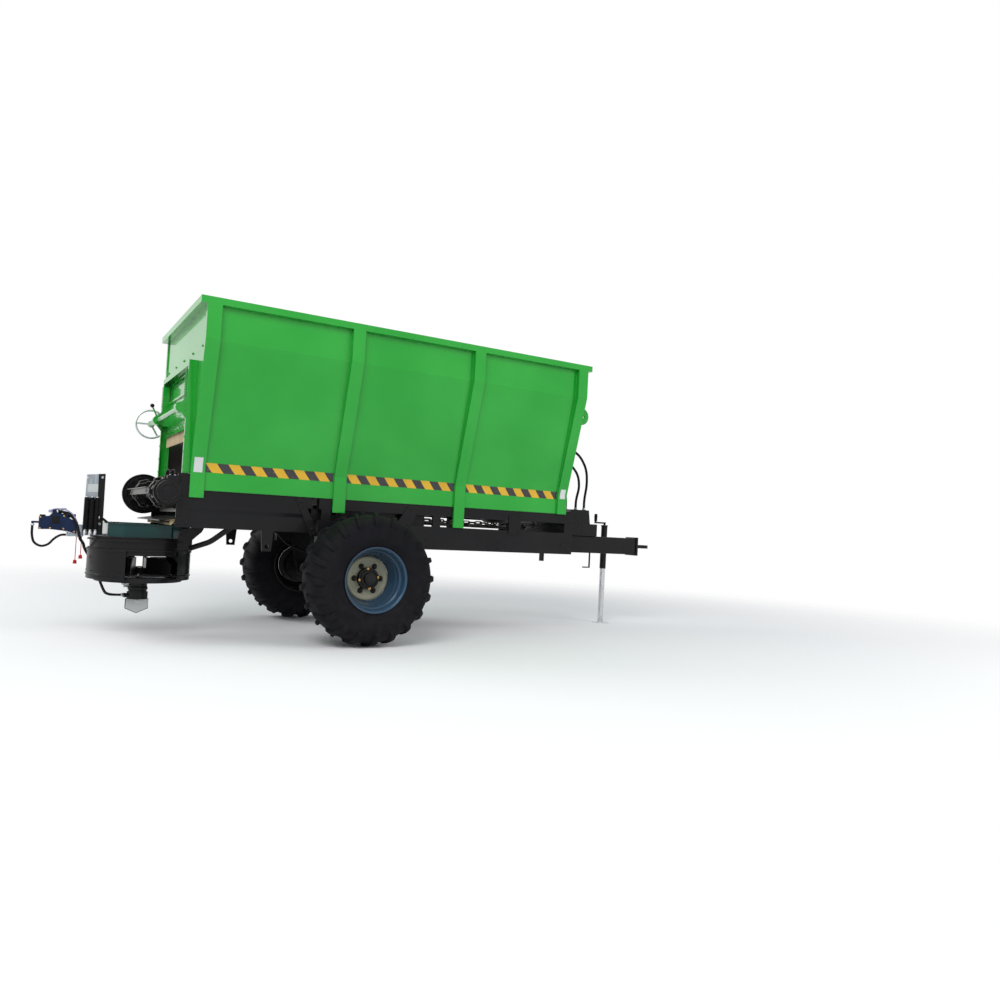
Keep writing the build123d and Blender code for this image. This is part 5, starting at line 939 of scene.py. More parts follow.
REAR_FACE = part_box("rear_wall")[0][0] + RIM_OVERHANG + 0.009
rear_x = POST_START + 0.009
wall_bolts = bolts(0.012, [(rear_x, y, 2.07) for y in np.linspace(-0.70, 0.70, 5)], (-1, 0, 0))
piece("rear_wall_bolts", wall_bolts, "frame", paint_green, "green_paint")
PLATES = [
    # x of the rear edge, width, low, high
    (POST_START + 0.018, 0.060, 1.200, 1.305),
    (POST_START + BAYS * POST_PITCH + 0.020, 0.056, 1.210, 1.295),
]
plates = [strip(x, x + wide, (low, 1.246, high), POST_FACE, 0.0008) for x, wide, low, high in PLATES]
both_sides("blank_plates", join(plates), "frame", paint_pale, "pale_plate")

# %% [markdown]
# The conveyor is the next large thing: two endless chains of round steel links that carry angle slats over
# the floor and back under it. One link is a rounded loop of bar. Its copies are set by length along the
# chain's closed line, and every second one is turned on its side, as links of such a chain lie.

# %% Conveyor line
def from_axle(points):
    """Points in millimetres behind or before the axle, across and up, as metres in the scene's frame."""
    return np.asarray(points, float) / 1000 + (AXLE_X, 0.0, 0.0)


SHAFT_Z = 1.050
CHAIN_R = 0.095
CHAIN_SIDE = 0.390
DRIVE_X, FRONT_X = AXLE_X - 1.380, AXLE_X + 1.790
RUN = FRONT_X - DRIVE_X
BEND = math.pi * CHAIN_R
LOOP = 2 * (RUN + BEND)


def chain_line(length):
    """Places, forward and outward directions at lengths along the chain. The angle falls from a right angle
    by length over radius on both rollers, and a place is the roller's centre plus the radius there."""
    turn = np.clip(length - RUN, 0, BEND) + np.clip(length - 2 * RUN - BEND, 0, BEND)
    angle = math.pi / 2 - turn / CHAIN_R
    centre = DRIVE_X + np.clip(length, 0, RUN) - np.clip(length - RUN - BEND, 0, RUN)
    outward = np.stack([np.cos(angle), 0 * angle, np.sin(angle)], 1)
    forward = np.stack([np.sin(angle), 0 * angle, -np.cos(angle)], 1)
    middle = np.stack([centre, 0 * angle, 0 * angle + SHAFT_Z], 1)
    return middle + CHAIN_R * outward, forward, outward


def closed_tube(path, radius, sides=6):
    """A ring carried round a flat closed path in x and y: point = path + r (cos a out + sin a up)."""
    ahead = np.roll(path, -1, 0) - np.roll(path, 1, 0)
    out = unit(np.cross(ahead, UP))
    angle = np.linspace(0, 2 * math.pi, sides, endpoint=False)
    ring = np.cos(angle)[None, :, None] * out[:, None] + np.sin(angle)[None, :, None] * UP
    return grid(path[:, None] + radius * ring, close_rows=True, close_cols=True)


# %% Conveyor chains and slats
LINKS = 112
LINK_BAR = 0.0055
LINK_BEND = 0.0115
SLATS = 24
link_half = (LOOP / LINKS + 2 * LINK_BAR) / 2 - LINK_BEND
arc = np.linspace(-math.pi / 2, math.pi / 2, 5)
end = np.stack([link_half + LINK_BEND * np.cos(arc), LINK_BEND * np.sin(arc), 0 * arc], 1)
link = closed_tube(np.concatenate([end, -end]), LINK_BAR)
flat_at, flat_way, flat_out = chain_line((np.arange(0, LINKS, 2) + 0.5) * LOOP / LINKS)
tall_at, tall_way, _ = chain_line((np.arange(1, LINKS, 2) + 0.5) * LOOP / LINKS)
links = []
for side in (-CHAIN_SIDE, CHAIN_SIDE):
    links.append(spread(link, flat_at + (0, side, 0), flat_way, flat_out))
    links.append(spread(link, tall_at + (0, side, 0), tall_way, (0.0, 1.0, 0.0)))

slat_low, slat_high = (np.array(corner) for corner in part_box("conveyor"))
slat_line = [
    # along the chain, out from its centre line
    (-0.023, 0.010),
    (0.023, 0.010),
    (0.023, 0.040),
    (0.017, 0.040),
    (0.017, 0.016),
    (-0.023, 0.016),
]
slat = prism(rounded(slat_line, 0.0016, steps=3), slat_high[1] - slat_low[1], slat_low[1])
slat_at, slat_way, slat_out = chain_line((np.arange(SLATS) + 0.5) * LOOP / SLATS)
slats = spread(slat, slat_at, slat_way, slat_out)
slat_bolts = []
for side in (-CHAIN_SIDE - 0.024, -CHAIN_SIDE + 0.024, CHAIN_SIDE - 0.024, CHAIN_SIDE + 0.024):
    points, groups = bolt(0.0075)
    places = slat_at + (0, side, 0)
    slat_bolts.append(spread((points + (-0.004, 0, 0.016), groups), places, slat_way, slat_out))
conveyor_shape = join(links + [slats] + slat_bolts)
conveyor = piece("conveyor_chain_slats", conveyor_shape, "frame", steel_chain, "worn_steel")
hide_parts("conveyor")

# %% [markdown]
# At the tail the drive shaft turns in its bearing housings. Star wheels carry the chains there, the motor
# sits outside on the right, and a round guard closes the left-hand end.

# %% Drive shaft, motor and guard
def along_y(shape, place, facing=-1.0):
    """A shape made round the z axis set at a place, with its z axis along y; facing -1 looks to the right."""
    points, groups = shape
    moved = np.stack([points[:, 0], facing * points[:, 2], facing * points[:, 1] * -1.0], 1)
    return moved + place, groups


angle = np.linspace(0, 2 * math.pi, 96, endpoint=False)
star_radius = 0.083 + 0.007 * np.clip(1.6 * np.cos(8 * angle), -1, 1)
star = prism(np.stack([star_radius * np.cos(angle), star_radius * np.sin(angle)], 1), 0.008, -0.004)
shaft_at = np.array([DRIVE_X, 0.0, SHAFT_Z])
stars = [(star[0] + shaft_at + (0, y, 0), star[1]) for y in (-0.415, -0.365, 0.365, 0.415)]
housing = rounded([(0.0, 0.012), (0.042, 0.012), (0.042, -0.012), (0.0, -0.012)], 0.003, False)
collars = [along_y(turned(housing), shaft_at + (0, y, 0)) for y in (-0.30, 0.30, -0.47, 0.47)]
piece("chain_star_wheels", join(stars + collars), "frame", paint_black, "black_paint")
SLEEVE_LINE = [(0.0, 0.05), (0.0275, 0.05), (0.0275, -0.05), (0.0, -0.05)]
sleeve = along_y(turned(SLEEVE_LINE, 32), shaft_at - (0, 0.22, 0))
sleeves = join([sleeve, (sleeve[0] + (0, 0.44, 0), sleeve[1])])
piece("shaft_sleeve", sleeves, "frame", steel_zinc, "worn_steel")

motor_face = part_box("conveyor_motor")[0][1]
cover = rounded([(0.050, 0.0), (0.052, 0.004), (0.060, 0.004), (0.063, 0.0)], 0.002, closed=False)
dish = rounded([(0.0, 0.002), (0.030, 0.002), (0.033, -0.001)], 0.002, closed=False)
END_BOLTS = [
    # size, count, radius of the ring, first angle, place across
    (0.0085, 6, 0.0725, 15, motor_face),
    (0.0062, 8, 0.0885, 22, -0.601),
    (0.0085, 4, 0.0992, 30, 0.595),
    (0.0052, 12, 0.1295, 10, 0.595),
]


def on_shaft(shape, y):
    """A shape made round the z axis, set on the drive shaft's line at y."""
    return along_y(shape, shaft_at + (0, y, 0))


faces = [on_shaft(turned(line, 48), motor_face) for line in (cover, dish)]
piece("motor_cover", join(faces), "frame", paint_black, "black_paint")
end_bolts = [
    on_shaft(spread(bolt(size), ring_of(count, radius, 0.0, start), (1, 0, 0)), y)
    for size, count, radius, start, y in END_BOLTS
]
piece("drive_end_bolts", join(end_bolts), "frame", paint_black, "black_paint")
guard_line = rounded([(0.152, 0.006), (0.160, 0.006), (0.160, -0.010), (0.152, -0.010)], 0.002)
piece("guard_rim", on_shaft(turned(guard_line, 64, True), 0.599), "frame", paint_black, "black_paint")

PIPE_WAY = np.array([
    # from the axle, across, up
    (-1360, -609, 1165), (-1360, -609, 1192), (-1366, -588, 1206),
    (-1374, -566, 1196), (-1378, -556, 1160), (-1380, -554, 1102),
])
ways = [from_axle(PIPE_WAY + (shift, 0, 0)) for shift in (-16, 16)]
pipes = [tube(soften(way, 2), 0.0065, 8) for way in ways]
piece("motor_pipes", join(pipes), "frame", paint_black, "black_paint")
nuts = [bolts(0.0115, way[:1], (0, 0, 1)) for way in ways]
piece("motor_pipe_nuts", join(nuts), "frame", steel_zinc, "black_paint")

# %% [markdown]
# Behind the tray sits the control gear. The upright is a bright plate with a blank label and a dark edge, and
# in front of it stand three ribbed cylinders. A ribbed cylinder is a rounded rectangle carried upwards while
# its half sizes step in and out, so each is one grid of points.

# %% Upright and ribbed cylinders
def slab(outline, y0, y1):
    """A flat outline in millimetres from the axle and up, given its thickness from y0 to y1 millimetres."""
    outline = np.asarray(outline, float)
    flat = np.stack([outline[:, 0] / 1000 + AXLE_X, outline[:, 1] / 1000], 1)
    return prism(flat, (y1 - y0) / 1000, y0 / 1000)


def superellipse(half_x, half_y, count=20, power=0.42):
    """Rounded rectangle: x = a sgn(cos t) |cos t|^p and y = b sgn(sin t) |sin t|^p."""
    t = np.linspace(0, 2 * math.pi, count, endpoint=False)
    x = half_x * np.sign(np.cos(t)) * np.abs(np.cos(t)) ** power
    y = half_y * np.sign(np.sin(t)) * np.abs(np.sin(t)) ** power
    return np.stack([x, y], 1)


EDGE_LINE = [(-1764, 722), (-1722, 722), (-1726, 1164), (-1770, 1160)]
piece("upright_edge", slab(EDGE_LINE, -62, -60.4), "frame", paint_black, "zinc")
label = slab([(-1838, 1024), (-1762, 1028), (-1758, 1086), (-1834, 1083)], -61.6, -60.3)
piece("upright_label", label, "frame", paint_pale, "zinc")
upright_places = from_axle([(-1838, -60, 1128), (-1744, -62, 1136), (-1744, -62, 800)])
piece("upright_bolts", bolts(0.008, upright_places, (0, -1, 0)), "frame", steel_zinc, "zinc")

RIBS = 26
RING_POINTS = 20
STEM_LINE = [(0.0, 0.046), (0.011, 0.046), (0.011, 0.030), (0.014, 0.026), (0.014, 0.0), (0.0, 0.0)]
low, high = (np.array(corner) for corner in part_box("ribbed_block"))
fin_low = low[2] + 0.042
levels = np.linspace(fin_low, high[2] - 0.006, 4 * RIBS)
depth = np.tile([0.0, 0.0, 0.0035, 0.0035], RIBS)
ring = superellipse(1.0, 1.0, RING_POINTS)
columns, tops = [], []
for number in range(3):
    centre = from_axle([(-1838 + 34 * number, -82.3, 0)])[0]
    sizes = np.stack([0.0164 - depth, 0.0222 - depth], 1)
    flat = ring[None] * sizes[:, None] + centre[:2]
    points = np.concatenate([flat, np.broadcast_to(levels[:, None, None], (*flat.shape[:2], 1))], 2)
    shape, faces = grid(points, close_cols=True)
    last = (len(levels) - 1) * RING_POINTS
    columns.append((shape, faces + [np.arange(RING_POINTS)[None], np.arange(RING_POINTS)[None] + last]))
    stem = turned(rounded(STEM_LINE, 0.002, False, 3), 20)
    tops.append((stem[0] + (centre[0], centre[1], low[2]), stem[1]))
    cap = turned(rounded([(0.0, 0.012), (0.009, 0.012), (0.010, 0.0), (0.0, 0.0)], 0.002, False, 3), 16)
    tops.append((cap[0] + (centre[0], centre[1], high[2] - 0.012), cap[1]))
spine_low, spine_high = from_axle([(-1852, -74.3, 723), (-1756, -60.3, 973)])
ribbed_shape = join(columns + [block(spine_low, spine_high)])
ribbed = piece("ribbed_cylinders", ribbed_shape, "frame", plastic_black, "black_paint")
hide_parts("ribbed_block")
piece("cylinder_unions", join(tops), "frame", steel_zinc, "black_paint")

# %% [markdown]
# The hoses at the tail are a smooth one that hangs in a loop and a corrugated conduit down to the motor.
# Their routes are the solid model's: straight runs joined by arcs that begin at 0.45 of the shorter run.
# The corrugation is the tube's radius rising and falling along its length.

# %% Hoses at the tail
def arcs(points, step=0.004):
    """Straight runs joined by circular arcs, as points about a step apart. An arc leaves its corner's two
    runs at reach = 0.45 of the shorter one. With chord ends a and b, corner p and half turn h, each point of
    the arc is centre + R (cos, sin) in the plane of the runs, where R = reach / tan h."""
    points = np.asarray(points, float)
    made = [points[0]]
    for a, p, b in zip(points, points[1:], points[2:]):
        back, ahead = a - p, b - p
        reach = 0.45 * min(np.linalg.norm(back), np.linalg.norm(ahead))
        u, v = unit(back), unit(ahead)
        half = (math.pi - math.acos(float(np.clip(u.dot(v), -1, 1)))) / 2
        radius = reach / math.tan(half)
        centre = p + unit(u + v) * radius / math.cos(half)
        first = unit(p + u * reach - centre)
        second = unit(np.cross(np.cross(first, p + v * reach - centre), first))
        count = max(3, int(2 * half * radius / step))
        sweep = np.linspace(0, 2 * half, count)[:, None]
        made.extend(centre + radius * (np.cos(sweep) * first + np.sin(sweep) * second))
    made.append(points[-1])
    return even_steps(np.array(made), step)


def corrugated(path, radius, depth):
    """Radii at the points of a path: r + d sgn(cos(n pi / 2 + 0.3)), so two points stand out and two in."""
    return radius + depth * np.sign(np.cos(np.arange(len(path)) * math.pi / 2 + 0.3))


LOOPED_HOSE = [
    (-2162, -50, 781.7), (-2162, -50, 708), (-2148, -50, 652), (-2102, -50, 626),
    (-2056, -50, 642), (-2026, -50, 684), (-1984, -50, 714), (-1942.3, -50, 714),
]
CONDUIT = [
    (-2023.7, -66, 876), (-1980, -66, 876), (-1930, -84, 852), (-1892, -95, 800), (-1876, -96, 742),
    (-1866, -84, 692), (-1836, -24, 656), (-1826, 50, 628), (-1804, 130, 590), (-1766, 200, 540),
    (-1728, 246, 478), (-1706, 274, 420), (-1684, 240, 352), (-1668, 176, 308), (-1660, 108, 290),
    (-1636, 52, 284), (-1594, 26, 284), (-1549.3, 26, 284),
]
CABLE = [
    (-2052, -44, 884), (-2020, -52, 896), (-1966, -60, 894), (-1918, -74, 864), (-1884, -84, 800),
    (-1868, -80, 730), (-1856, -64, 702),
]
looped = arcs(from_axle(LOOPED_HOSE), 0.006)
conduit = arcs(from_axle(CONDUIT), 0.0016)
short = arcs(from_axle([(-1756, -86, 845), (-1730, -88, 842), (-1706, -84, 822), (-1694, -80, 812)]), 0.0016)
tail = join([tube(looped, 0.008, 12), tube(conduit, corrugated(conduit, 0.0088, 0.0012), 10)])
hose = piece("tail_hoses", tail, "frame", rubber_hose, "hose_rubber", smooth=60)
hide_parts("rear_hoses")
short_tube = tube(short, corrugated(short, 0.0088, 0.0012), 10)
piece("short_conduit", short_tube, "frame", rubber_hose, "hose_rubber", smooth=60)
cable = arcs(from_axle(CABLE), 0.0016)
cable_tube = tube(cable, corrugated(cable, 0.0046, 0.0007), 8)
piece("coil_cable", cable_tube, "frame", plastic_lilac, "hose_rubber", smooth=60)


def collar(place, facing, radius, length=0.012, sides=6):
    """A union nut: a short turned piece with chamfered ends, its axis along facing from place."""
    line = [
        (0.0, length), (radius * 0.8, length), (radius, length - 0.0025),
        (radius, 0.0025), (radius * 0.8, 0.0), (0.0, 0.0),
    ]
    return facing_out(turned(line, sides), [place], facing)


COLLARS = [
    # place in millimetres from the axle, facing, radius
    ((-2162, -50, 784), (0, 0, -1), 0.0125),
    ((-1941, -50, 714), (-1, 0, 0), 0.0125),
    ((-2022, -66, 876), (1, 0, 0), 0.014),
    ((-1551, 26, 284), (-1, 0, 0), 0.0145),
    ((-1551, -26, 284), (-1, 0, 0), 0.0145),
    ((-1883, -20, 712), (0, 0, -1), 0.009),
    ((-1850, -20, 717), (0, 0, -1), 0.009),
    ((-1758, -86, 845), (1, 0, 0), 0.013),
]
nuts = [collar(from_axle([place])[0], facing, radius) for place, facing, radius in COLLARS]
piece("hose_unions", join(nuts), "frame", steel_zinc, "zinc")

# %% Valve block
VALVE_PARTS = [
    # piece, material, boxes as low and high corners in millimetres from the axle
    ("coil_caps", plastic_lilac, [
        ((-2070, -58, 866), (-2036, -38, 886)),
        ((-1992, -40, 886), (-1958, -18, 902)),
    ]),
    ("coil_plugs", plastic_black, [
        ((-1932, -60, 838), (-1898, -34, 862)),
        ((-2122, -78, 837), (-2086, -40, 850)),
        ((-2046, -82, 790), (-1998, -80, 842)),
    ]),
    ("valve_label", plastic_blue, [((-2110, -81.2, 762), (-2062, -80, 828))]),
]
for name, material, boxes in VALVE_PARTS:
    shape = join([block(*from_axle(pair)) for pair in boxes])
    piece(name, shape, "frame", material, "black_paint", bevel=0.004)
SCREWS = [
    (-2116, -80, 832), (-2116, -80, 754), (-2054, -80, 758),
    (-1972, -80, 756), (-1972, -80, 846), (-1904, -80, 738),
]
piece("valve_screws", bolts(0.0055, from_axle(SCREWS), (0, -1, 0)), "frame", brass, "black_paint")
coil_places = from_axle([(-2010, -53, 872), (-1950, -53, 858)])
coil_ends = [collar(place, (0, -1, 0), 0.010, 0.008) for place in coil_places]
piece("coil_nuts", join(coil_ends), "frame", steel_zinc, "black_paint")

# %% [markdown]
# The spreader itself: a folded rim and two cross bars on the tray, a row of bolts on the tan scraper, bolts
# on the drum's flange and guards, weld beads, and the bolts and unions of the motor under it.

# %% Spreader dress
def octagon(half_x, half_y, cut):
    """Corners of a rectangle whose corners are cut off, in turn."""
    x, y = half_x, half_y
    return np.array([
        (x, -y + cut), (x, y - cut), (x - cut, y), (cut - x, y),
        (-x, y - cut), (-x, cut - y), (cut - x, -y), (x - cut, -y),
    ])


def octagon_ring(grow, low, high):
    """A flat rim that stands out from the tray by grow between two heights in millimetres."""
    rings = []
    for out, z in ((-4, low), (grow, low), (grow, high), (-4, high)):
        plan = octagon(250 + out, 280 + out, 90 + 0.586 * out)
        rings.append(from_axle(np.concatenate([plan + (-1450, 0), np.full((8, 1), float(z))], 1)))
    return grid(np.stack(rings), close_rows=True, close_cols=True)


piece("tray_rim", octagon_ring(13, 811, 817), "frame", paint_teal, "teal_black", bevel=0.0015)
bars = [block(*from_axle([(x - 5, -274, 798), (x + 5, 274, 808)])) for x in (-1560, -1350)]
piece("tray_bars", join(bars), "frame", paint_black, "teal_black", bevel=0.002)
foot = octagon(251, 281, 90)
foot = from_axle(np.concatenate([foot + (-1450, 0), np.full((8, 1), 716.0)], 1))
foot = np.concatenate([foot, foot[:1]])
joint = from_axle(np.concatenate([ring_of(90, 341, 714.0), ring_of(90, 341, 714.0)[:1]]) + (-1455, 0, 0))
piece("spreader_welds", join([bead(foot, 0.003), bead(joint, 0.003)]), "frame", paint_black, "black_paint")
scraper_row = [(-1345.5, y, 842) for y in range(-500, 501, 50)]
scraper_set = bolts(0.0075, from_axle(scraper_row), (-1.0, 0.0, 0.2))
piece("scraper_bolts", scraper_set, "frame", paint_black, "tan_rubber")

DRUM = from_axle([(-1455, 0, 0)])[0]
flange = ring_of(18, 0.3495, 0.6305, 7) + DRUM
upper = ring_of(18, 0.3495, 0.6970, 7) + DRUM
around = np.radians(np.array([-42, -20, 20, 42, 118, 138, 160, 180, 200, 222, 242], float))
radial = np.stack([np.cos(around), np.sin(around), 0 * around], 1)
guard_places = 0.352 * radial + DRUM + (0, 0, 0.470)
side_places = from_axle([
    (-1215, -268, 746), (-1212, -268, 696), (-1236, -268, 660), (-1150, -268, 700), (-1100, -268, 806),
])
drum_bolts = [bolts(0.0062, ring, (0, 0, 1)) for ring in (flange, upper)]
drum_bolts.append(bolts(0.0060, guard_places, radial))
drum_bolts += [bolts(0.0095, side_places, (0, -1, 0)), bolts(0.0095, side_places * (1, -1, 1), (0, 1, 0))]
piece("drum_bolts", join(drum_bolts), "frame", paint_black, "black_paint")

MOTOR_LINE = [
    (0.0655, 0.404), (0.0665, 0.398), (0.0640, 0.392), (0.0640, 0.352),
    (0.0690, 0.346), (0.0690, 0.330), (0.0640, 0.324),
]
motor_rings = turned(rounded(MOTOR_LINE, 0.002, False, 3), 48)
piece("motor_bands", (motor_rings[0] + DRUM, motor_rings[1]), "frame", paint_black, "black_paint")
under = bolts(0.0075, ring_of(4, 0.054, 0.258, 45) + DRUM, (0, 0, -1))
carrier = bolts(0.0080, ring_of(6, 0.083, 0.408, 30) + DRUM, (0, 0, -1))
piece("motor_bolts", join([under, carrier]), "frame", steel_zinc, "black_paint")
PORTS = [
    # place in millimetres from the axle, facing, radius, length
    ((-1519, -20, 372), (-1, -0.2, 0), 0.014, 0.030),
    ((-1548, -26, 372), (-1, -0.2, 0), 0.011, 0.022),
    ((-1519, 24, 352), (-1, 0.2, 0), 0.014, 0.030),
    ((-1500, -55, 396), (-0.6, -0.8, 0), 0.010, 0.018),
]
port_nuts = [collar(from_axle([at])[0], way, radius, length) for at, way, radius, length in PORTS]
piece("motor_ports", join(port_nuts), "frame", steel_zinc, "black_paint")
bleeder = collar(from_axle([(-1436, -62, 386)])[0], (0.3, -1, 0), 0.008, 0.012)
piece("bleed_screw", bleeder, "frame", brass, "black_paint")
FOOT_EDGE = [(-1533, 257), (-1533, 188), (-1455, 153), (-1377, 188), (-1377, 257), (-1533, 257)]
edge = [tube(from_axle([(x, y, z) for x, z in FOOT_EDGE]), 0.0022, 6) for y in (-5, 5)]
piece("foot_edge", join(edge), "frame", paint_black, "pale_plate")
piece("foot_bolt", bolts(0.012, from_axle([(-1455, -5, 240)]), (0, -1, 0)), "frame", steel_zinc, "pale_plate")

# %% Spinner dress
spinner_bolts = [bolts(0.0085, ring_of(6, r, 0.448, 22) + DRUM, (0, 0, 1)) for r in (0.115, 0.19, 0.255)]
CROWN_LINE = [(0.0, 0.500), (0.018, 0.500), (0.024, 0.494), (0.024, 0.486), (0.0, 0.486)]
crown = turned(rounded(CROWN_LINE, 0.003, False, 3), 6)
spinner_shape = join(spinner_bolts + [(crown[0] + DRUM, crown[1])])
piece("spinner_bolts", spinner_shape, "spinner_body", steel_worn, "black_paint")

# %% [markdown]
# The chassis is bolted and welded together, and most of that can be seen from the side. Bolts are listed as
# places on the outer face, and each list is used on both sides of the machine.

# %% Chassis bolts and welds
SIDE_BOLTS = [
    # from the axle, across, up: strap, gusset, stanchion, end plate and post feet
    (-445, -587, 1037), (-429, -587, 1004), (-348, -587, 840), (-332, -587, 807),
    (468, -587, 1035), (522, -587, 1035), (362, -587, 904), (432, -587, 904),
    (1416, -587, 894), (1496, -587, 894), (1416, -587, 1018), (1496, -587, 1018),
    (-1298, -579, 1166), (-1298, -579, 1140), (-1298, -579, 880), (-1298, -579, 836), (-1262, -579, 836),
    (1960, -579, 745), (1960, -579, 795), (1300, -579, 745), (1300, -579, 795),
    (620, -579, 745), (620, -579, 795),
]
side_bolts = bolts(0.0105, from_axle(SIDE_BOLTS), (0, -1, 0))
both_sides("chassis_bolts", side_bolts, "frame", paint_black, "black_paint")
SIDE_WELDS = [
    [(-1240, -580, 1073), (1985, -580, 1073)],
    [(-484, -580, 1058), (-349, -580, 786)],
    [(-426, -580, 1058), (-291, -580, 786)],
    [(-300, -579, 904), (-278, -579, 904), (-276, -579, 992)],
    [(2059, -576, 720), (2059, -576, 1070)],
]
welds = join([bead(from_axle(path), 0.0035) for path in SIDE_WELDS])
both_sides("chassis_welds", welds, "frame", paint_black, "black_paint")
# Black plates close the chassis gaps behind the rails: dark sheets as painted shade where the gaps show dark.
GAP_SHADE_PLATES = [(-340, -198, 993), (-198, -101, 957), (-101, 615, 993)]  # from, to, top
plates = [block(*from_axle([(x0, -520, 898), (x1, -513, top)])) for x0, x1, top in GAP_SHADE_PLATES]
both_sides("gap_shade_plates", join(plates), "frame", paint_black, "black_paint")
under_axle = from_axle([(x, -541, 436) for x in (-72, 72)])
both_sides("axle_bolts", bolts(0.014, under_axle, (0, 0, -1)), "frame", paint_black, "black_paint")
front_face = from_axle([(2080, y, z) for y in (-500, -300, 300, 500) for z in (765, 900, 1035)])
piece("front_plate_bolts", bolts(0.012, front_face, (1, 0, 0)), "frame", paint_black, "black_paint")

# %% [markdown]
# A brake pipe lies on the axle, with a hose from its middle up to the cross member behind it.

# %% Brake pipe and hose
BRAKE_PIPE = [
    (-28, -655, 620), (-28, -655, 560), (-28, -610, 545), (-28, 610, 545), (-28, 655, 560), (-28, 655, 620),
]
BRAKE_HOSE = [
    (-28, 0, 552), (-60, 0, 600), (-190, 0, 640), (-360, 0, 700), (-440, 0, 790), (-519, 0, 830),
]
pipe = tube(arcs(from_axle(BRAKE_PIPE), 0.02), 0.0045, 8)
hose = tube(arcs(from_axle(BRAKE_HOSE), 0.012), 0.008, 10)
piece("brake_pipe", pipe, "frame", paint_black, "black_paint")
piece("brake_hose", hose, "frame", rubber_hose, "hose_rubber")
brake_ends = (((-28, 0, 543), (0, 0, 1)), ((-519, 0, 830), (-1, 0, 0)))
ends = [collar(from_axle([place])[0], facing, 0.013) for place, facing in brake_ends]
piece("brake_unions", join(ends), "frame", brass, "black_paint")

# %% [markdown]
# The gate keeps its rack-and-pinion gear from the solid model. It gets a row of bolts over its rubber flap,
# bolts down its rails and on its gear cases, a ball on the pawl's lever and the handwheel's nut.

# %% Gate dress
plate_x = REAR_FACE - 0.0123
flap_row = [(plate_x, y, 1.553) for y in np.linspace(-0.42, 0.42, 8)]
piece("flap_bolts", bolts(0.0085, flap_row, (-1, 0, 0)), "gate_body", paint_green, "green_paint")
rail_x, rail_y = (np.array(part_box("gate_frame")[0]) + (0, 0.015, 0))[:2]
rows = [z for z in np.arange(1.235, 1.96, 0.105) if abs(z - 1.648) > 0.11]
rail_bolts = [(rail_x, side * abs(rail_y), z) for z in rows for side in (-1, 1)]
piece("rail_bolts", bolts(0.0072, rail_bolts, (-1, 0, 0)), "frame", paint_green, "green_paint")
case_low, case_high = (np.array(corner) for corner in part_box("gear_cases"))
gear_at = from_axle([(-1325, 0, 1648)])[0]
turned_bolts = spread(bolt(0.0058), ring_of(4, 0.030, 0.0, 45), (1, 0, 0))
ends = ((case_low[1], -1.0), (case_high[1], 1.0))
covers = [along_y(turned_bolts, gear_at + (0, y, 0), facing) for y, facing in ends]
piece("gear_case_bolts", join(covers), "frame", paint_green, "green_paint")
polar = np.linspace(0, math.pi, 13)
ball = turned(np.stack([0.0165 * np.sin(polar), 0.0165 * np.cos(polar)], 1), 24)
ball_at = from_axle([(-1368, 536, 1768)])[0]
piece("pawl_ball", (ball[0] + ball_at, ball[1]), "frame", plastic_black, "green_paint")
wheel_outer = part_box("handwheel")[1][1]
hub_nut = along_y(bolt(0.017), gear_at + (0, wheel_outer - 0.0004, 0), 1.0)
piece("handwheel_nut", hub_nut, "gate_drive", steel_zinc, "zinc")

# %% [markdown]
# At the front stand the cover of the drawbar's box, the three hoses with their unions, the bolts of the eye,
# and the grip of the jack's crank and the pin of its tube.

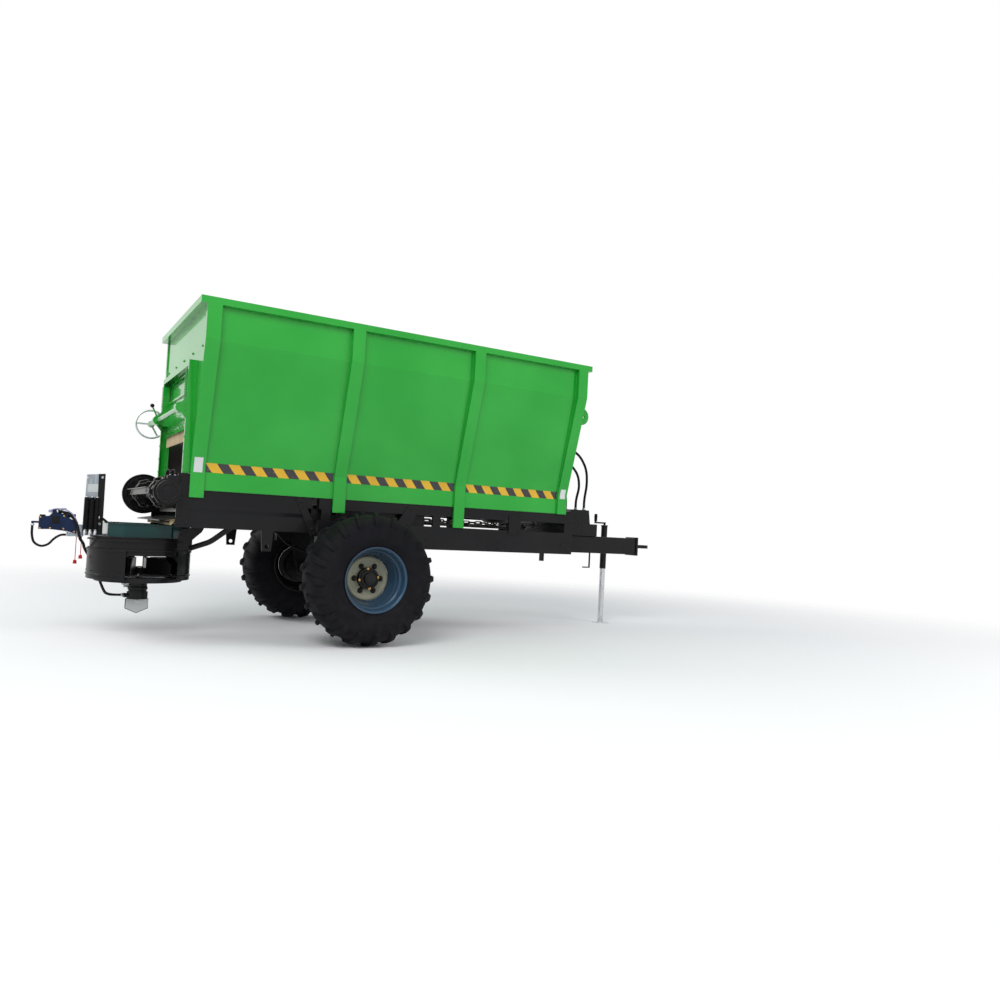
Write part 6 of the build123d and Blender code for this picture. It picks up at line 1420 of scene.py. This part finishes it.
# %% Front dress
cover_low, cover_high = from_axle([(2112, -98, 902), (2706, -95, 994)])
piece("box_cover", block(cover_low, cover_high), "frame", paint_black, "black_paint", bevel=0.0015)
cover_bolts = [(x, -98, z) for x in (2128, 2318, 2500, 2690) for z in (914, 982)]
bracket_bolts = [(x, -87, 1030) for x in (2440, 2500, 2600)]
eye_bolts = bolts(0.0125, from_axle([(3312, y, z) for y in (-50, 50) for z in (754, 854)]), (1, 0, 0))
cover_set = bolts(0.0075, from_axle(cover_bolts + bracket_bolts), (0, -1, 0))
piece("drawbar_bolts", join([cover_set, eye_bolts]), "frame", paint_black, "black_paint")
FRONT_UNIONS = [
    # place, facing
    ((2590, -60, 1144), (0, 0, 1)),
    ((2535, 4, 1144), (0, 0, 1)),
    ((2460, 68, 1144), (0, 0, 1)),
    ((1949, -12, 1649.3), (1, 0, 0)),
    ((1949, -34, 1524.3), (1, 0, 0)),
    ((1949, 92, 1349.3), (1, 0, 0)),
]
FRONT_HOSES = [
    # from the axle, across, up
    [(2590, -60, 1144), (2590, -60, 1254), (2622, -52, 1404), (2612, -46, 1554), (2530, -38, 1684),
     (2400, -30, 1749), (2250, -22, 1754), (2120, -16, 1704), (2050, -12, 1649), (1949, -12, 1649)],
    [(2535, 4, 1144), (2535, 4, 1244), (2566, -2, 1374), (2540, -6, 1494), (2450, -10, 1584),
     (2320, -16, 1624), (2190, -22, 1604), (2090, -30, 1554), (2040, -34, 1524), (1949, -34, 1524)],
    [(2460, 68, 1144), (2460, 68, 1234), (2446, 72, 1324), (2400, 76, 1404), (2310, 80, 1449),
     (2210, 84, 1439), (2120, 90, 1394), (2055, 92, 1349), (1949, 92, 1349)],
]
front_hoses = join([tube(arcs(from_axle(route), 0.012), 0.0122, 12) for route in FRONT_HOSES])
front = piece("front_hose_rubber", front_hoses, "frame", rubber_hose, "hose_rubber", smooth=60)
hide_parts("front_hoses")
unions = [collar(from_axle([place])[0], facing, 0.0175, 0.022) for place, facing in FRONT_UNIONS]
flanges = [collar(from_axle([place])[0], facing, 0.024, 0.004, 20) for place, facing in FRONT_UNIONS]
piece("front_unions", join(unions), "frame", steel_zinc, "black_paint")
piece("union_flanges", join(flanges), "frame", paint_black, "black_paint")
GRIP_LINE = [(0.0, 1.122), (0.0145, 1.122), (0.0170, 1.095), (0.0155, 1.070), (0.0170, 1.048), (0.0, 1.048)]
grip_line = rounded(GRIP_LINE, 0.004, False, 4)
grip = turned(grip_line, 28)
grip_at = from_axle([(2892, 127, 0)])[0]
piece("crank_grip", (grip[0] + grip_at, grip[1]), "frame", plastic_black, "black_paint")
pin = tube(from_axle([(3010, 158, 876), (3010, 200, 876)]), 0.007, 10)
piece("jack_pin", pin, "frame", steel_zinc, "zinc")

# %% [markdown]
# Last, both boxes are gathered: the solid model's and the dressed one's.

# %% Sizes and end
boxes = {"solid": solid_box, "dressed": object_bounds()}
